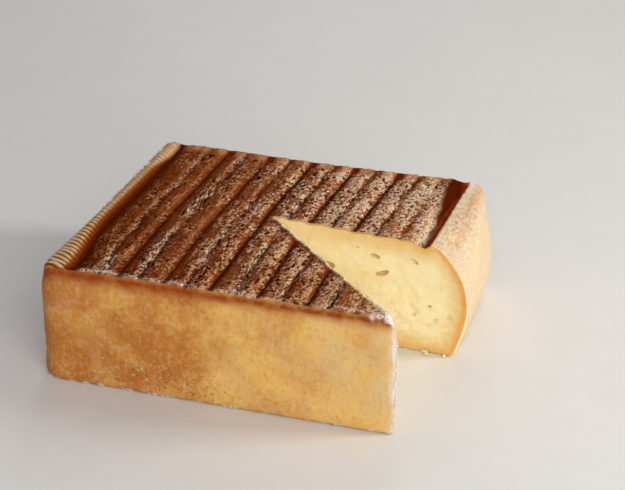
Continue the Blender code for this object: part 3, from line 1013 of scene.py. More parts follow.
def crust_mask(x, y, z, ragged, block):
    """The whole brown crust, out to its ragged edges."""
    over = over_edge(y, z, block)
    left_over = x - block.left - np.clip(block.height - z, 0.0, None)
    start = np.where(y < 0, 0.9, 0.5) + 0.5 * ragged
    crust = ramp(over, start, 0.7) * ramp(left_over, -0.8, 0.8)
    return crust * ramp(RIGHT_CREST - x + 0.25 * MM * ragged, 0, 0.6)


def rim_mask(x, y, z, ragged, groove_dark_and_shade, block):
    """Dry skin where the ridges end at the front and back, broken at the grooves."""
    front = y < 0
    place = np.where(front, 2.4 * MM, 0.8 * MM) + 0.8 * MM * ragged
    rim = bell(over_edge(y, z, block) - place, np.where(front, 1.7 * MM, 0.7 * MM))
    patchy = smooth_step(0.45 + 0.8 * flat_noise(x, y, (8.0, 4.0, 1.0), 83) + 0.4 * ragged)
    rim = 1.25 * rim * patchy * (1.0 - 0.95 * np.minimum(1.0, 1.4 * groove_dark_and_shade))
    return rim * ramp(x, -60, 6)


def lip_shade_mask(y, z, ragged, block):
    """Painted shade: a darker band of rind under the crust's lip at the front and back."""
    under_lip = over_edge(y, z, block) + 1.2 * MM + 0.5 * MM * ragged
    on_wall = ramp(np.abs(y) - block.half_depth, -3.5, 1.5)
    return bell(under_lip, np.where(under_lip > 0, 3.4 * MM, 2.1 * MM)) * on_wall


def stain_mask(x, y, z, ragged):
    """A brown streak down the right end, stronger towards the back."""
    streak = RIGHT_CREST + STREAK_OFFSET - STREAK_DRIFT * ramp(y, 10, 40)
    stain = bell(x - streak + 0.7 * MM * ragged, 1.5 * MM) * ramp(z, 24, 10)
    return stain * (0.35 + 0.65 * ramp(y, 4, 30))


def block_masks(places, block):
    x, y, z = places.T
    ragged = noise(places, 2.6, 81) + 0.5 * noise(places, 1.1, 82)
    groove_dark_and_shade = groove_dark_and_shade_mask(x, y, block)
    near_top = ramp(z - block.height, -3.2, 1.5)
    end = ramp(x - RIGHT_CREST, -0.2, 1.2) * (1.0 - ramp(-y - block.half_depth, -2.6, 1.2))
    depth, flank = paste_depth(places, block)
    wet, ember = ember_mask(x, y)
    crack, bead = crack_line(x, y, block)
    past_groove = ROLL_GROOVE + roll_swing(y, block) - x
    return {
        "crust": crust_mask(x, y, z, ragged, block) * near_top,
        "roll": roll_mask(x, y, block) * near_top,
        "slope": ramp(past_groove, 0.1, 1.2),
        "rise": ramp(past_groove, 1.2, 1.6),
        "cord": cords(x, y) * corded(x, y, block),
        "fine": np.clip(fine_crust(x, y, block) / (0.25 * MM), -2.0, 2.0) * near_top,
        "strip": crinkled(x, y, block),
        "pleat": pleats(x, y),
        # painted light on the panels' right-facing flanks
        "pillow": pillow_light_share(x, y, block),
        # wet skin's dark colour and painted shade in the grooves
        "groove": groove_dark_and_shade,
        "wet": wet,
        "ember": ember,
        "crack": crack,
        "bead": bead,
        "crumbled": crumbled_patch(x, z) * (y < 0),
        "pocket": pocket_mask(x, y, block),
        # painted highlight on the crests
        "crest": crest_highlight_mask(x, y, block),
        "rim": np.clip(rim_mask(x, y, z, ragged, groove_dark_and_shade, block) * near_top, 0.0, 1.0),
        "peach": ramp(y - block.half_depth, -8, 5) * (1.0 - groove_dark_and_shade),
        # painted shade under the crust's lip
        "band": lip_shade_mask(y, z, ragged, block) * (1.0 - end),
        "end": end,
        "stain": stain_mask(x, y, z, ragged) * end,
        # the paste's edge, painted brighter as a highlight
        "edge": cut_edge_highlight_mask(x, y, z, block),
        "bloom": bloom_mask(x, y, z, ragged, block),
        "frost": frost_mask(x, y, z, ragged, block),
        "dry": end * ramp(RIGHT_CREST - x, -11, 8) * ramp(z, 16, 14),
        "depth": depth,
        "flank": flank,
        # painted shade inside the eyes
        "eye": eye_shade_mask(x, y),
    }


def eye_shade_mask(x, y):
    """How deep a point lies behind its cut face, inside an eye: where painted shade darkens the eyes."""
    _, far_across = along_cut(x, y, FAR_CUT_ANGLE)
    _, near_across = along_cut(x, y, NEAR_CUT_ANGLE)
    behind = np.maximum(far_across, -near_across)
    return ramp(behind, 0.45, 0.9)


def paste_depth(places, block):
    """Depth under the nearest rind in millimetres, and whether that rind is a side."""
    x, y, z = places.T
    out = np.ones(len(x))
    right, _ = belly(out, 0.0 * out, y, z, block)
    to_top = np.minimum(block.height + rack_marks(x, y, block) - z, z + 0.2 * MM)
    to_side = np.minimum.reduce([
        block.right + right - x,
        block.half_depth + BELLY_FRONT - np.abs(y),
        x - block.left,
    ])
    return np.minimum(to_top, to_side) / MM, ramp(to_top - to_side, -1, 2)


def write_masks(piece, masks):
    for name, values in masks.items():
        layer = piece.data.attributes.new(name, "FLOAT", "POINT")
        layer.data.foreach_set("value", np.asarray(values, dtype=np.float32))


# Shader nodes.


def put(tree, kind, sockets=None, **fields):
    """Adds a node, sets its fields, and sets or links its sockets by name or number."""
    made = tree.nodes.new(kind)
    for field, value in fields.items():
        setattr(made, field, value)
    for name, value in (sockets or {}).items():
        if isinstance(value, bpy.types.NodeSocket):
            tree.links.new(value, made.inputs[name])
        else:
            made.inputs[name].default_value = value
    return made


def rgba(values):
    return (*values, 1.0)


def calc(tree, operation, first, second=0.0, clamp=False):
    sockets = {0: first, 1: second}
    return put(tree, "ShaderNodeMath", sockets, operation=operation, use_clamp=clamp).outputs[0]


def total(tree, *values):
    """The sum of several sockets or numbers."""
    result = values[0]
    for value in values[1:]:
        result = calc(tree, "ADD", result, value)
    return result


def product(tree, *values):
    """The product of several sockets or numbers."""
    result = values[0]
    for value in values[1:]:
        result = calc(tree, "MULTIPLY", result, value)
    return result


def times(tree, *shares):
    """The product of several masks, held between 0 and 1."""
    result = shares[0]
    for share in shares[1:]:
        result = calc(tree, "MULTIPLY", result, share, clamp=True)
    return result


def mixed(tree, share, first, second, mode="MIX"):
    """Blends two colours, given as sockets or as linear values."""
    ends = [value if isinstance(value, bpy.types.NodeSocket) else rgba(value) for value in (first, second)]
    sockets = {0: share, 6: ends[0], 7: ends[1]}
    return put(tree, "ShaderNodeMix", sockets, data_type="RGBA", blend_type=mode).outputs[2]


def layered(tree, base, *layers):
    """Lays colours over a base one after the other, each with the share that it covers."""
    for share, colour_over in layers:
        base = mixed(tree, share, base, colour_over)
    return base


def ranged(tree, value, low, high, start=0.0, end=1.0):
    sockets = {"Value": value, "From Min": low, "From Max": high, "To Min": start, "To Max": end}
    return put(tree, "ShaderNodeMapRange", sockets).outputs["Result"]


def mask(tree, name):
    return put(tree, "ShaderNodeAttribute", attribute_name=name).outputs["Fac"]


def millimetres(tree, stretch=(1.0, 1.0, 1.0)):
    """The place on the piece in millimetres, optionally squeezed along an axis."""
    place = put(tree, "ShaderNodeTexCoord").outputs["Object"]
    scale = tuple(value / MM for value in stretch)
    return put(tree, "ShaderNodeMapping", {"Vector": place, "Scale": scale}).outputs["Vector"]


def cloud(tree, vector, scale, detail=3.0, roughness=0.55, distortion=0.0):
    sockets = {"Vector": vector, "Scale": scale, "Detail": detail, "Roughness": roughness}
    sockets["Distortion"] = distortion
    return put(tree, "ShaderNodeTexNoise", sockets).outputs["Fac"]


def group_named(name, inputs, outputs):
    """A node group with named sockets, and its input and output nodes."""
    tree = bpy.data.node_groups.new(name, "ShaderNodeTree")
    for label, kind, default in inputs:
        socket = tree.interface.new_socket(label, in_out="INPUT", socket_type=kind)
        if default is not None:
            socket.default_value = default
    for label, kind in outputs:
        tree.interface.new_socket(label, in_out="OUTPUT", socket_type=kind)
    return tree, put(tree, "NodeGroupInput"), put(tree, "NodeGroupOutput")


def mottle_group():
    """Two colours in soft patches with fine flecks between them."""
    tree, given, result = group_named(
        "mottle",
        (
            ("Place", "NodeSocketVector", None),
            ("Patch", "NodeSocketFloat", 0.2),
            ("Fleck", "NodeSocketFloat", 1.5),
            ("Bias", "NodeSocketFloat", 0.0),
            ("First", "NodeSocketColor", None),
            ("Second", "NodeSocketColor", None),
        ),
        (("Colour", "NodeSocketColor"), ("Share", "NodeSocketFloat")),
    )
    place = given.outputs["Place"]
    patches = cloud(tree, place, given.outputs["Patch"], 2.0, 0.6, 0.4)
    flecks = cloud(tree, place, given.outputs["Fleck"], 3.0, 0.65)
    amount = total(tree, product(tree, patches, 1.5), product(tree, flecks, 0.9), given.outputs["Bias"])
    share = ranged(tree, amount, 0.95, 1.45)
    colour_out = mixed(tree, share, given.outputs["First"], given.outputs["Second"])
    tree.links.new(colour_out, result.inputs["Colour"])
    tree.links.new(share, result.inputs["Share"])
    return tree


def grain_group():
    """Height of a fine uneven skin, coarse and fine together."""
    tree, given, result = group_named(
        "skin grain",
        (
            ("Place", "NodeSocketVector", None),
            ("Coarse", "NodeSocketFloat", 0.8),
            ("Fine", "NodeSocketFloat", 3.0),
            ("Balance", "NodeSocketFloat", 0.4),
        ),
        (("Height", "NodeSocketFloat"),),
    )
    place = given.outputs["Place"]
    coarse = cloud(tree, place, given.outputs["Coarse"], 3.0, 0.6)
    fine = cloud(tree, place, given.outputs["Fine"], 2.0, 0.5)
    height = total(tree, coarse, product(tree, fine, given.outputs["Balance"]))
    tree.links.new(height, result.inputs["Height"])
    return tree


def bloom_group():
    """Breaks a mask of white mould into uneven patches."""
    tree, given, result = group_named(
        "bloom patches",
        (
            ("Place", "NodeSocketVector", None),
            ("Mask", "NodeSocketFloat", 0.0),
            ("Spread", "NodeSocketFloat", 0.5),
        ),
        (("Share", "NodeSocketFloat"),),
    )
    patches = cloud(tree, given.outputs["Place"], 0.9, 4.0, 0.7)
    reached = total(tree, product(tree, given.outputs["Mask"], 1.1), patches)
    low = calc(tree, "SUBTRACT", 1.25, given.outputs["Spread"])
    share = ranged(tree, reached, low, 1.3)
    tree.links.new(times(tree, share, given.outputs["Mask"]), result.inputs["Share"])
    return tree


def put_group(tree, make, name, sockets):
    """Adds a node of a shared group, which is made when it is first asked for."""
    shared = bpy.data.node_groups.get(name) or make()
    return put(tree, "ShaderNodeGroup", sockets, node_tree=shared).outputs


def mottled(tree, place, patch, fleck, first, second, bias=0.0):
    sockets = {"Place": place, "Patch": patch, "Fleck": fleck, "Bias": bias}
    sockets.update({"First": rgba(first), "Second": rgba(second)})
    return put_group(tree, mottle_group, "mottle", sockets)["Colour"]


def skin_grain(tree, place, coarse, fine, balance):
    sockets = {"Place": place, "Coarse": coarse, "Fine": fine, "Balance": balance}
    return put_group(tree, grain_group, "skin grain", sockets)["Height"]


def bloom_share(tree, place, amount, spread):
    sockets = {"Place": place, "Mask": amount, "Spread": spread}
    return put_group(tree, bloom_group, "bloom patches", sockets)["Share"]


def new_material(name):
    made = bpy.data.materials.new(name)
    made.use_nodes = True
    tree = made.node_tree
    return made, tree, tree.nodes["Principled BSDF"]


def bumped(tree, height, distance, strength=1.0):
    sockets = {"Height": height, "Distance": distance, "Strength": strength}
    return put(tree, "ShaderNodeBump", sockets).outputs["Normal"]


def across_block(tree):
    """From 0 at the left of the block to 1 at its right."""
    place = put(tree, "ShaderNodeTexCoord").outputs["Object"]
    x = put(tree, "ShaderNodeSeparateXYZ", {0: place}).outputs["X"]
    return ranged(tree, x, -66 * MM, 60 * MM)


def towards_back(tree):
    """From 0 at the front of the block to 1 at its back."""
    place = put(tree, "ShaderNodeTexCoord").outputs["Object"]
    y = put(tree, "ShaderNodeSeparateXYZ", {0: place}).outputs["Y"]
    return ranged(tree, y, -56 * MM, 56 * MM)


def crust_grain_group():
    """Granules of skin: their height, which of them carry a painted glint, and the gaps between them, which
    carry painted shade.
    """
    tree, given, result = group_named(
        "crust granules",
        (("Place", "NodeSocketVector", None), ("Scale", "NodeSocketFloat", 0.9)),
        (("Height", "NodeSocketFloat"), ("Pale", "NodeSocketFloat"), ("Gap", "NodeSocketFloat")),
    )
    place = given.outputs["Place"]
    warp = put(tree, "ShaderNodeTexNoise", {"Vector": place, "Scale": 0.45, "Detail": 2.0}).outputs["Color"]
    warp = put(tree, "ShaderNodeVectorMath", {0: warp, "Scale": 1.5}, operation="SCALE").outputs[0]
    warped = put(tree, "ShaderNodeVectorMath", {0: warp, 1: place}, operation="ADD").outputs[0]
    sockets = {"Vector": warped, "Scale": given.outputs["Scale"], "Randomness": 1.0}
    cells = put(tree, "ShaderNodeTexVoronoi", sockets)
    pick = put(tree, "ShaderNodeSeparateColor", {0: cells.outputs["Color"]}).outputs[0]
    granules = ranged(tree, cells.outputs["Distance"], 0.0, 0.75, 1.0, 0.0)
    fine = cloud(tree, place, 1.4, 3.0, 0.7)
    wave = calc(tree, "ABSOLUTE", calc(tree, "SUBTRACT", cloud(tree, warped, 0.42, 2.0, 0.5), 0.5))
    fold = ranged(tree, wave, 0.0, 0.06, 1.0, 0.0)
    parts = (product(tree, granules, 0.45), product(tree, fine, 0.45), product(tree, fold, 0.4))
    height = total(tree, *parts)
    # Painted glints on some granules' tops and along the folds.
    pale = product(tree, ranged(tree, pick, 0.62, 0.82), ranged(tree, granules, 0.2, 0.55))
    chain = product(tree, ranged(tree, fold, 0.3, 0.8), ranged(tree, fine, 0.46, 0.56))
    tree.links.new(height, result.inputs["Height"])
    tree.links.new(calc(tree, "MAXIMUM", pale, chain), result.inputs["Pale"])
    # Painted shade in the gaps between the granules.
    far_off = ranged(tree, cells.outputs["Distance"], 0.42, 0.68)
    gap_shade = product(tree, far_off, ranged(tree, wave, 0.05, 0.1))
    tree.links.new(gap_shade, result.inputs["Gap"])
    return tree


def crust_granules(tree, stretch):
    """The outputs of the granules' group, squeezed or stretched along an axis."""
    sockets = {"Place": millimetres(tree, stretch), "Scale": GRANULE_SCALE}
    return put_group(tree, crust_grain_group, "crust granules", sockets)


def crust_roughness(tree):
    """Where the panels are granular and not smooth: in patches and along the crests."""
    lengthwise = millimetres(tree, (1.0, 0.3, 1.0))
    right = across_block(tree)
    more_right = ranged(tree, right, 0.0, 0.7, -0.04, 0.05)
    uneven = total(tree, cloud(tree, lengthwise, 0.2, 4.0, 0.65), more_right)
    patches = ranged(tree, uneven, 0.455, 0.6, 0.04, 1.0)
    crests = times(tree, mask(tree, "pillow"), ranged(tree, right, 0.0, 1.0, 0.25, 1.1))
    return calc(tree, "ADD", patches, crests, clamp=True)


def crust_level(tree, granules, wrinkles, rough):
    """How light the crust is at a place. Painted light and shade: raised relief lighter and hollows darker,
    the panels' right-facing flanks lit, and the whole top lit more towards the right; also random patches,
    and darker towards the front.
    """
    right = across_block(tree)
    back = towards_back(tree)
    patches = cloud(tree, millimetres(tree, (1.0, 0.25, 1.0)), 0.12, 3.0, 0.6)
    raised = calc(tree, "SUBTRACT", granules["Height"], 0.28)
    folded = calc(tree, "SUBTRACT", wrinkles["Height"], 0.5)
    return total(
        tree,
        product(tree, raised, ranged(tree, rough, 0.0, 1.0, 0.4, 1.7)),
        product(tree, folded, mask(tree, "strip"), 2.0),
        product(tree, mask(tree, "fine"), 0.1),
        product(tree, mask(tree, "pleat"), ranged(tree, right, 0.3, 0.8, 0.08, 0.42)),
        ranged(tree, patches, 0.25, 0.75, -0.16, 0.16),
        # painted light on the panels' right-facing flanks, stronger to the right
        product(tree, mask(tree, "pillow"), ranged(tree, right, 0.2, 1.0, 0.3, 1.15)),
        ranged(tree, right, 0.1, 1.0, -0.56, 0.1),
        ranged(tree, back, 0.0, 0.8, -0.22, 0.04),
    )


def panel_colour(tree, crust, granules, wrinkles):
    """The ridged panels, from their brown skin up to the painted glints on the granules' tops and the
    painted shade in the gaps between them.
    """
    place = millimetres(tree)
    right = across_block(tree)
    rough = crust_roughness(tree)
    level = crust_level(tree, granules, wrinkles, rough)
    # The painted glints turn from peach to pale cream to the right and towards the back.
    paler_towards_back = ranged(tree, towards_back(tree), 0.1, 0.5, 0.3, 1.0)
    dry = times(tree, ranged(tree, right, 0.22, 0.5), paler_towards_back)
    fleck = mixed(tree, dry, crust.peach, crust.fleck)
    # Painted highlights on the crests of the pleats on the right half.
    pleat_highlights = times(
        tree,
        ranged(tree, mask(tree, "pleat"), 0.2, 0.7),
        ranged(tree, right, 0.45, 0.9, 0.0, 0.8),
        ranged(tree, cloud(tree, place, 0.7, 3.0), 0.42, 0.6),
    )
    folded = ranged(tree, mask(tree, "strip"), 0.15, 0.6)
    return layered(
        tree,
        # Painted light and shade by level: the groove colour at the darkest, then brown, tan and glints.
        crust.groove,
        (ranged(tree, level, -0.75, -0.3), crust.brown),
        (ranged(tree, level, -0.05, 0.4), crust.tan),
        (ranged(tree, level, 0.35, 0.85, 0.0, 0.95), fleck),
        (times(tree, granules["Pale"], rough, 0.9), fleck),
        (pleat_highlights, fleck),
        (times(tree, granules["Gap"], rough, ranged(tree, right, 0.5, 1.0, 1.0, 0.55)), crust.crevice_shade),
        (times(tree, wrinkles["Pale"], folded), crust.fleck),
        (times(tree, wrinkles["Gap"], folded, 0.9), crust.crevice_shade),
        # Painted glints on the beads, painted shade in the cracks.
        (times(tree, mask(tree, "bead"), ranged(tree, granules["Height"], 0.5, 0.7)), crust.fleck),
        (times(tree, mask(tree, "crack"), 0.95), crust.crevice_shade),
    )


def crust_colour(tree, crust, granules, wrinkles):
    """The panels with their crests, grooves, pockets and rims, and the roll's inner side."""
    place = millimetres(tree)
    groove = mask(tree, "groove")
    broken = ranged(tree, cloud(tree, place, 0.9, 4.0), 0.42, 0.65, 0.0, 0.55)
    peachy = ranged(tree, cloud(tree, place, 0.5), 0.3, 0.7, 0.3, 0.9)
    soft = ranged(tree, cloud(tree, place, 0.4, 3.0), 0.25, 0.6, 0.72, 1.0)
    wet = mixed(tree, mask(tree, "ember"), crust.groove, crust.ember)
    ribbed = ranged(tree, mask(tree, "cord"), -0.15, 0.15, 0.45, 1.0)
    slope = mixed(tree, times(tree, mask(tree, "rise"), ribbed), crust.groove, crust.roll_slope)
    return layered(
        tree,
        panel_colour(tree, crust, granules, wrinkles),
        # painted highlight on the crests, in the peach colour
        (times(tree, mask(tree, "crest"), broken), crust.peach),
        (times(tree, mask(tree, "peach"), peachy), crust.peach),
        # wet skin's colour and painted shade in the grooves, near black at their bottoms
        (times(tree, groove, soft), crust.groove),
        (ranged(tree, groove, 0.6, 1.0, 0.0, 0.75), crust.crevice_shade),
        (mask(tree, "pocket"), crust.pocket),
        (mask(tree, "wet"), wet),
        (times(tree, mask(tree, "rim"), ranged(tree, granules["Height"], 0.4, 0.6, 0.2, 1.0)), crust.rime),
        (mask(tree, "slope"), slope),
        # the paste's edge, painted brighter as a highlight
        (mask(tree, "edge"), crust.sliver_highlight),
    )


def roll_colour(tree, crust):
    """Pale cords with brown valleys on the outer side of the roll."""
    place = millimetres(tree)
    pale = mottled(tree, place, 0.25, 1.4, tuple(crust.roll), tuple(crust.bloom), -0.2)
    return mixed(tree, ranged(tree, mask(tree, "cord"), -0.5, 0.3, 0.0, 1.0), crust.roll_slope, pale)


def rind_colour(tree, rind):
    """Ochre washed rind, yellower and paler to the right, partly its own colour and partly painted light
    from the right, with painted shade under the crust's lip.
    """
    place = millimetres(tree)
    right = across_block(tree)
    # Yellower and paler to the right: partly the rind's own colour, partly painted light from the right.
    bias = ranged(tree, right, 0.0, 0.8, -0.3, 0.25)
    skin = mottled(tree, place, 0.045, 0.3, tuple(rind.amber), tuple(rind.ochre), bias)
    yellower = ranged(tree, right, 0.1, 0.85, -0.2, 0.24)
    yellow = total(tree, cloud(tree, place, 0.06, 3.0, 0.55), yellower)
    rose = ranged(tree, cloud(tree, place, 0.055, 2.0, 0.5, 0.6), 0.56, 0.74, 0.0, 0.4)
    paler_and_lit_right = ranged(tree, right, 0.45, 0.9, 0.0, 0.5)
    strokes = cloud(tree, millimetres(tree, (1.0, 1.0, 0.2)), 0.7, 3.0, 0.6)
    shade = total(
        tree,
        ranged(tree, strokes, 0.3, 0.7, -0.13, 0.13),
        ranged(tree, cloud(tree, place, 0.6, 5.0, 0.75), 0.3, 0.7, -0.36, 0.36),
    )
    # Amber patches, stronger to the left: partly the rind's own patches, partly painted shade away from the
    # light.
    dark = product(tree, shade, ranged(tree, right, 0.35, 0.8, -1.8, -0.9))
    crumbled = mask(tree, "crumbled")
    specks = cloud(tree, place, 1.1, 2.0, 0.6)
    pale_specks = ranged(tree, specks, 0.6, 0.72)
    pit_shade = ranged(tree, specks, 0.4, 0.3)
    lip_shade_patches = ranged(tree, cloud(tree, place, 0.3, 3.0), 0.25, 0.55, 0.6, 1.0)
    return layered(
        tree,
        skin,
        (ranged(tree, yellow, 0.36, 0.72, 0.0, 0.85), rind.straw),
        (rose, rind.rose),
        (times(tree, paler_and_lit_right, ranged(tree, cloud(tree, place, 0.08), 0.3, 0.7)), rind.cream),
        (calc(tree, "MAXIMUM", shade, 0.0), rind.cream),
        (calc(tree, "MAXIMUM", dark, 0.0), rind.amber),
        (times(tree, pale_specks, ranged(tree, crumbled, 0.0, 0.7, 0.12, 1.0)), rind.cream),
        # painted shade in the hollows between the crumbled bumps
        (times(tree, pit_shade, ranged(tree, crumbled, 0.0, 0.8, 0.04, 1.0)), rind.pit),
        # painted shade under the crust's lip
        (times(tree, mask(tree, "band"), lip_shade_patches), rind.band),
        (mask(tree, "end"), end_colour(tree, rind)),
    )


def end_colour(tree, rind):
    """The cream right end, with straw streaks, dry brown and chalky grain and a brown stain."""
    place = millimetres(tree)
    streaks = ranged(tree, cloud(tree, millimetres(tree, (1.0, 0.15, 0.5)), 0.4, 3.0), 0.42, 0.75)
    speckle = cloud(tree, millimetres(tree, (1.0, 0.55, 1.0)), 0.95, 4.0, 0.7)
    grainy = calc(tree, "MAXIMUM", mask(tree, "dry"), mask(tree, "stain"), clamp=True)
    grainy = times(tree, grainy, ranged(tree, cloud(tree, place, 0.22, 3.0), 0.38, 0.58, 0.15, 1.0))
    browned = times(tree, ranged(tree, speckle, 0.48, 0.62), ranged(tree, grainy, 0.0, 1.0, 0.08, 0.75))
    chalky = times(tree, ranged(tree, speckle, 0.46, 0.36), ranged(tree, grainy, 0.0, 1.0, 0.4, 1.0))
    return layered(
        tree,
        rind.cream,
        (product(tree, streaks, 0.25), rind.straw),
        (browned, rind.stain),
        (times(tree, ranged(tree, speckle, 0.58, 0.68), grainy, 0.8), rind.pit),
        (chalky, rind.chalk),
        (times(tree, mask(tree, "stain"), ranged(tree, streaks, 0.0, 1.0, 0.45, 0.95)), rind.stain),
    )


def skin_height(tree, place, on_top, granules, wrinkles):
    """Height of the finest relief: granules and folds on top, a fine grain on the sides."""
    rough = ranged(tree, crust_roughness(tree), 0.0, 1.0, 0.4, 1.1)
    folds_height = product(tree, wrinkles["Height"], mask(tree, "strip"), 1.8)
    crust_height = total(tree, product(tree, granules["Height"], rough), folds_height)
    smooth_skin = calc(tree, "MAXIMUM", mask(tree, "slope"), mask(tree, "wet"))
    smooth_skin = calc(tree, "MAXIMUM", mask(tree, "groove"), smooth_skin)
    crust_height = product(tree, crust_height, ranged(tree, smooth_skin, 0.2, 1.0, 1.0, 0.2))
    rind_height = product(tree, skin_grain(tree, place, 0.8, 3.0, 0.35), 0.4)
    sockets = {0: on_top, 2: rind_height, 3: crust_height}
    return put(tree, "ShaderNodeMix", sockets, data_type="FLOAT").outputs[0]


def skin_material(crust, rind):
    """The outside of the block: crust on top, washed rind on the sides."""
    made, tree, shader = new_material("washed rind")
    place = millimetres(tree)
    on_top = mask(tree, "crust")
    granules = crust_granules(tree, (1.25, 0.8, 1.0))
    wrinkles = crust_granules(tree, (1.5, 0.42, 1.0))
    top = crust_colour(tree, crust, granules, wrinkles)
    top = mixed(tree, mask(tree, "roll"), top, roll_colour(tree, crust))
    bloom = bloom_share(tree, place, mask(tree, "bloom"), 0.55)
    beaded = ranged(tree, cloud(tree, place, 0.9, 3.0, 0.6), 0.3, 0.5, 0.45, 1.0)
    colour_out = layered(
        tree,
        rind_colour(tree, rind),
        (on_top, top),
        (bloom, crust.bloom),
        (times(tree, mask(tree, "frost"), beaded), crust.frost),
    )
    tree.links.new(colour_out, shader.inputs["Base Color"])
    uneven = ranged(tree, cloud(tree, place, 0.7, 3.0), 0.3, 0.7, 0.4, 0.6)
    rough = calc(tree, "ADD", uneven, product(tree, bloom, 0.3), clamp=True)
    tree.links.new(rough, shader.inputs["Roughness"])
    moist = ranged(tree, on_top, 0.0, 1.0, 0.18, 0.0)
    moist = calc(tree, "ADD", moist, product(tree, mask(tree, "ember"), 0.05), clamp=True)
    tree.links.new(moist, shader.inputs["Coat Weight"])
    shader.inputs["Coat Roughness"].default_value = 0.3
    shader.inputs["Specular IOR Level"].default_value = 0.0
    shader.inputs["Subsurface Weight"].default_value = 0.06
    shader.inputs["Subsurface Radius"].default_value = (1.0, 0.45, 0.2)
    shader.inputs["Subsurface Scale"].default_value = 1.5 * MM
    height = skin_height(tree, place, on_top, granules, wrinkles)
    tree.links.new(bumped(tree, height, 0.7 * MM), shader.inputs["Normal"])
    return made


def paste_colour(tree, paste):
    """Pale in the middle, amber near the rind and more so towards the right, riper under the side rinds,
    with a line at the rind.
    """
    place = millimetres(tree)
    flank = mask(tree, "flank")
    depth = mask(tree, "depth")
    ripening = total(tree, depth, ranged(tree, cloud(tree, place, 0.16, 3.0), 0.0, 1.0, -2.5, 2.5))
    more_amber_right = ranged(tree, across_block(tree), 0.55, 0.95, 0.2, 0.85)
    under_top = ranged(tree, flank, 0.0, 1.0, 1.0, 0.0)
    return layered(
        tree,
        mottled(tree, place, 0.09, 0.45, tuple(paste.butter), tuple(paste.heart), 0.1),
        # Amber near the rind, more towards the right.
        (times(tree, ranged(tree, ripening, 1.0, 8.0, 1.0, 0.0), more_amber_right), paste.edge),
        (times(tree, flank, ranged(tree, depth, 1.6, 3.4, 1.0, 0.0), 0.65), paste.side_line),
        (times(tree, flank, ranged(tree, depth, 0.5, 0.9, 1.0, 0.0)), paste.heart),
        (times(tree, under_top, ranged(tree, depth, 0.2, 0.6, 0.6, 0.0)), paste.line),
        # painted shade inside the eyes
        (times(tree, mask(tree, "eye"), 0.6), paste.eye),
    )


def paste_material(paste):
    """The cut paste, riper towards the rind, with a curd-like grain."""
    made, tree, shader = new_material("cut paste")
    place = millimetres(tree)
    tree.links.new(paste_colour(tree, paste), shader.inputs["Base Color"])
    moist = ranged(tree, cloud(tree, place, 0.5, 3.0), 0.3, 0.7, 0.3, 0.48)
    tree.links.new(moist, shader.inputs["Roughness"])
    shader.inputs["Specular IOR Level"].default_value = 0.35
    shader.inputs["Subsurface Weight"].default_value = 0.25
    shader.inputs["Subsurface Radius"].default_value = (1.0, 0.7, 0.3)
    shader.inputs["Subsurface Scale"].default_value = 2.0 * MM
    height = skin_grain(tree, place, 0.55, 2.4, 0.35)
    tree.links.new(bumped(tree, height, 0.3 * MM), shader.inputs["Normal"])
    return made


def bloom_material(crust):
    """Dry white mould with cream in its hollows."""
    made, tree, shader = new_material("mould bloom")
    place = millimetres(tree)
    colour_out = mottled(tree, place, 0.4, 1.8, tuple(crust.peach), tuple(crust.bloom), 0.3)
    tree.links.new(colour_out, shader.inputs["Base Color"])
    tree.links.new(ranged(tree, cloud(tree, place, 1.2), 0.3, 0.7, 0.6, 0.85), shader.inputs["Roughness"])
    tree.links.new(bumped(tree, skin_grain(tree, place, 2.0, 5.0, 0.5), 0.1 * MM), shader.inputs["Normal"])
    return made


def crumb_material(paste):
    """Crumbs of paste, drier than the cut."""
    made, tree, shader = new_material("crumb")
    place = millimetres(tree)
    colour_out = mottled(tree, place, 0.3, 1.2, tuple(paste.butter), tuple(paste.heart))
    tree.links.new(colour_out, shader.inputs["Base Color"])
    tree.links.new(ranged(tree, cloud(tree, place, 0.8), 0.3, 0.7, 0.4, 0.6), shader.inputs["Roughness"])
    shader.inputs["Subsurface Weight"].default_value = 0.2
    shader.inputs["Subsurface Scale"].default_value = 2.0 * MM
    tree.links.new(bumped(tree, skin_grain(tree, place, 1.2, 3.5, 0.5), 0.2 * MM), shader.inputs["Normal"])
    return made


def floor_material(stage):
    made, tree, shader = new_material("pale floor")
    place = millimetres(tree)
    shade = tuple(value * 0.97 for value in stage.floor)
    colour_out = mottled(tree, place, 0.01, 0.08, shade, tuple(stage.floor))
    tree.links.new(colour_out, shader.inputs["Base Color"])
    shader.inputs["Roughness"].default_value = 0.6
    return made


# Small scattered pieces.


def scatter(name, places, radii, lumpiness, subdivisions, seed):
    """Joins small lumps, one for each place, into one mesh."""
    deselect_all()
    bpy.ops.mesh.primitive_ico_sphere_add(subdivisions=subdivisions, radius=1.0)
    lump = bpy.context.object
    ball = mesh_places(lump)
    faces = np.array([face.vertices[:] for face in lump.data.polygons])
    draw = np.random.default_rng(seed)
    corners = []
    triangles = []
    for number, (place, radius) in enumerate(zip(places, radii)):
        stretch = radius * draw.uniform(0.7, 1.3, 3)
        lumps = 1.0 + lumpiness * draw.uniform(-1.0, 1.0, len(ball))
        turn = draw.uniform(0.0, 2 * math.pi)
        x, y, z = (ball * lumps[:, None] * stretch).T
        x, y = turned(x, y, turn)
        lump_places = np.column_stack((x, y, z)) + place
        lump_places[:, 2] = np.maximum(lump_places[:, 2], 0.0)
        corners.append(lump_places)
        triangles.append(faces + number * len(ball))
    mesh = bpy.data.meshes.new(name)
    mesh.from_pydata(np.concatenate(corners).tolist(), [], np.concatenate(triangles).tolist())
    lump.data = mesh
    lump.name = name
    return lump


def finish_piece(piece, materials):
    """Shades a piece smooth, gives it its materials and fixes it to the block's body."""
    piece.data.materials.clear()
    for material in materials:
        piece.data.materials.append(material)
    select_only(piece)
    bpy.ops.object.shade_smooth_by_angle(angle=SMOOTH_ANGLE)
    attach(piece, BODY)


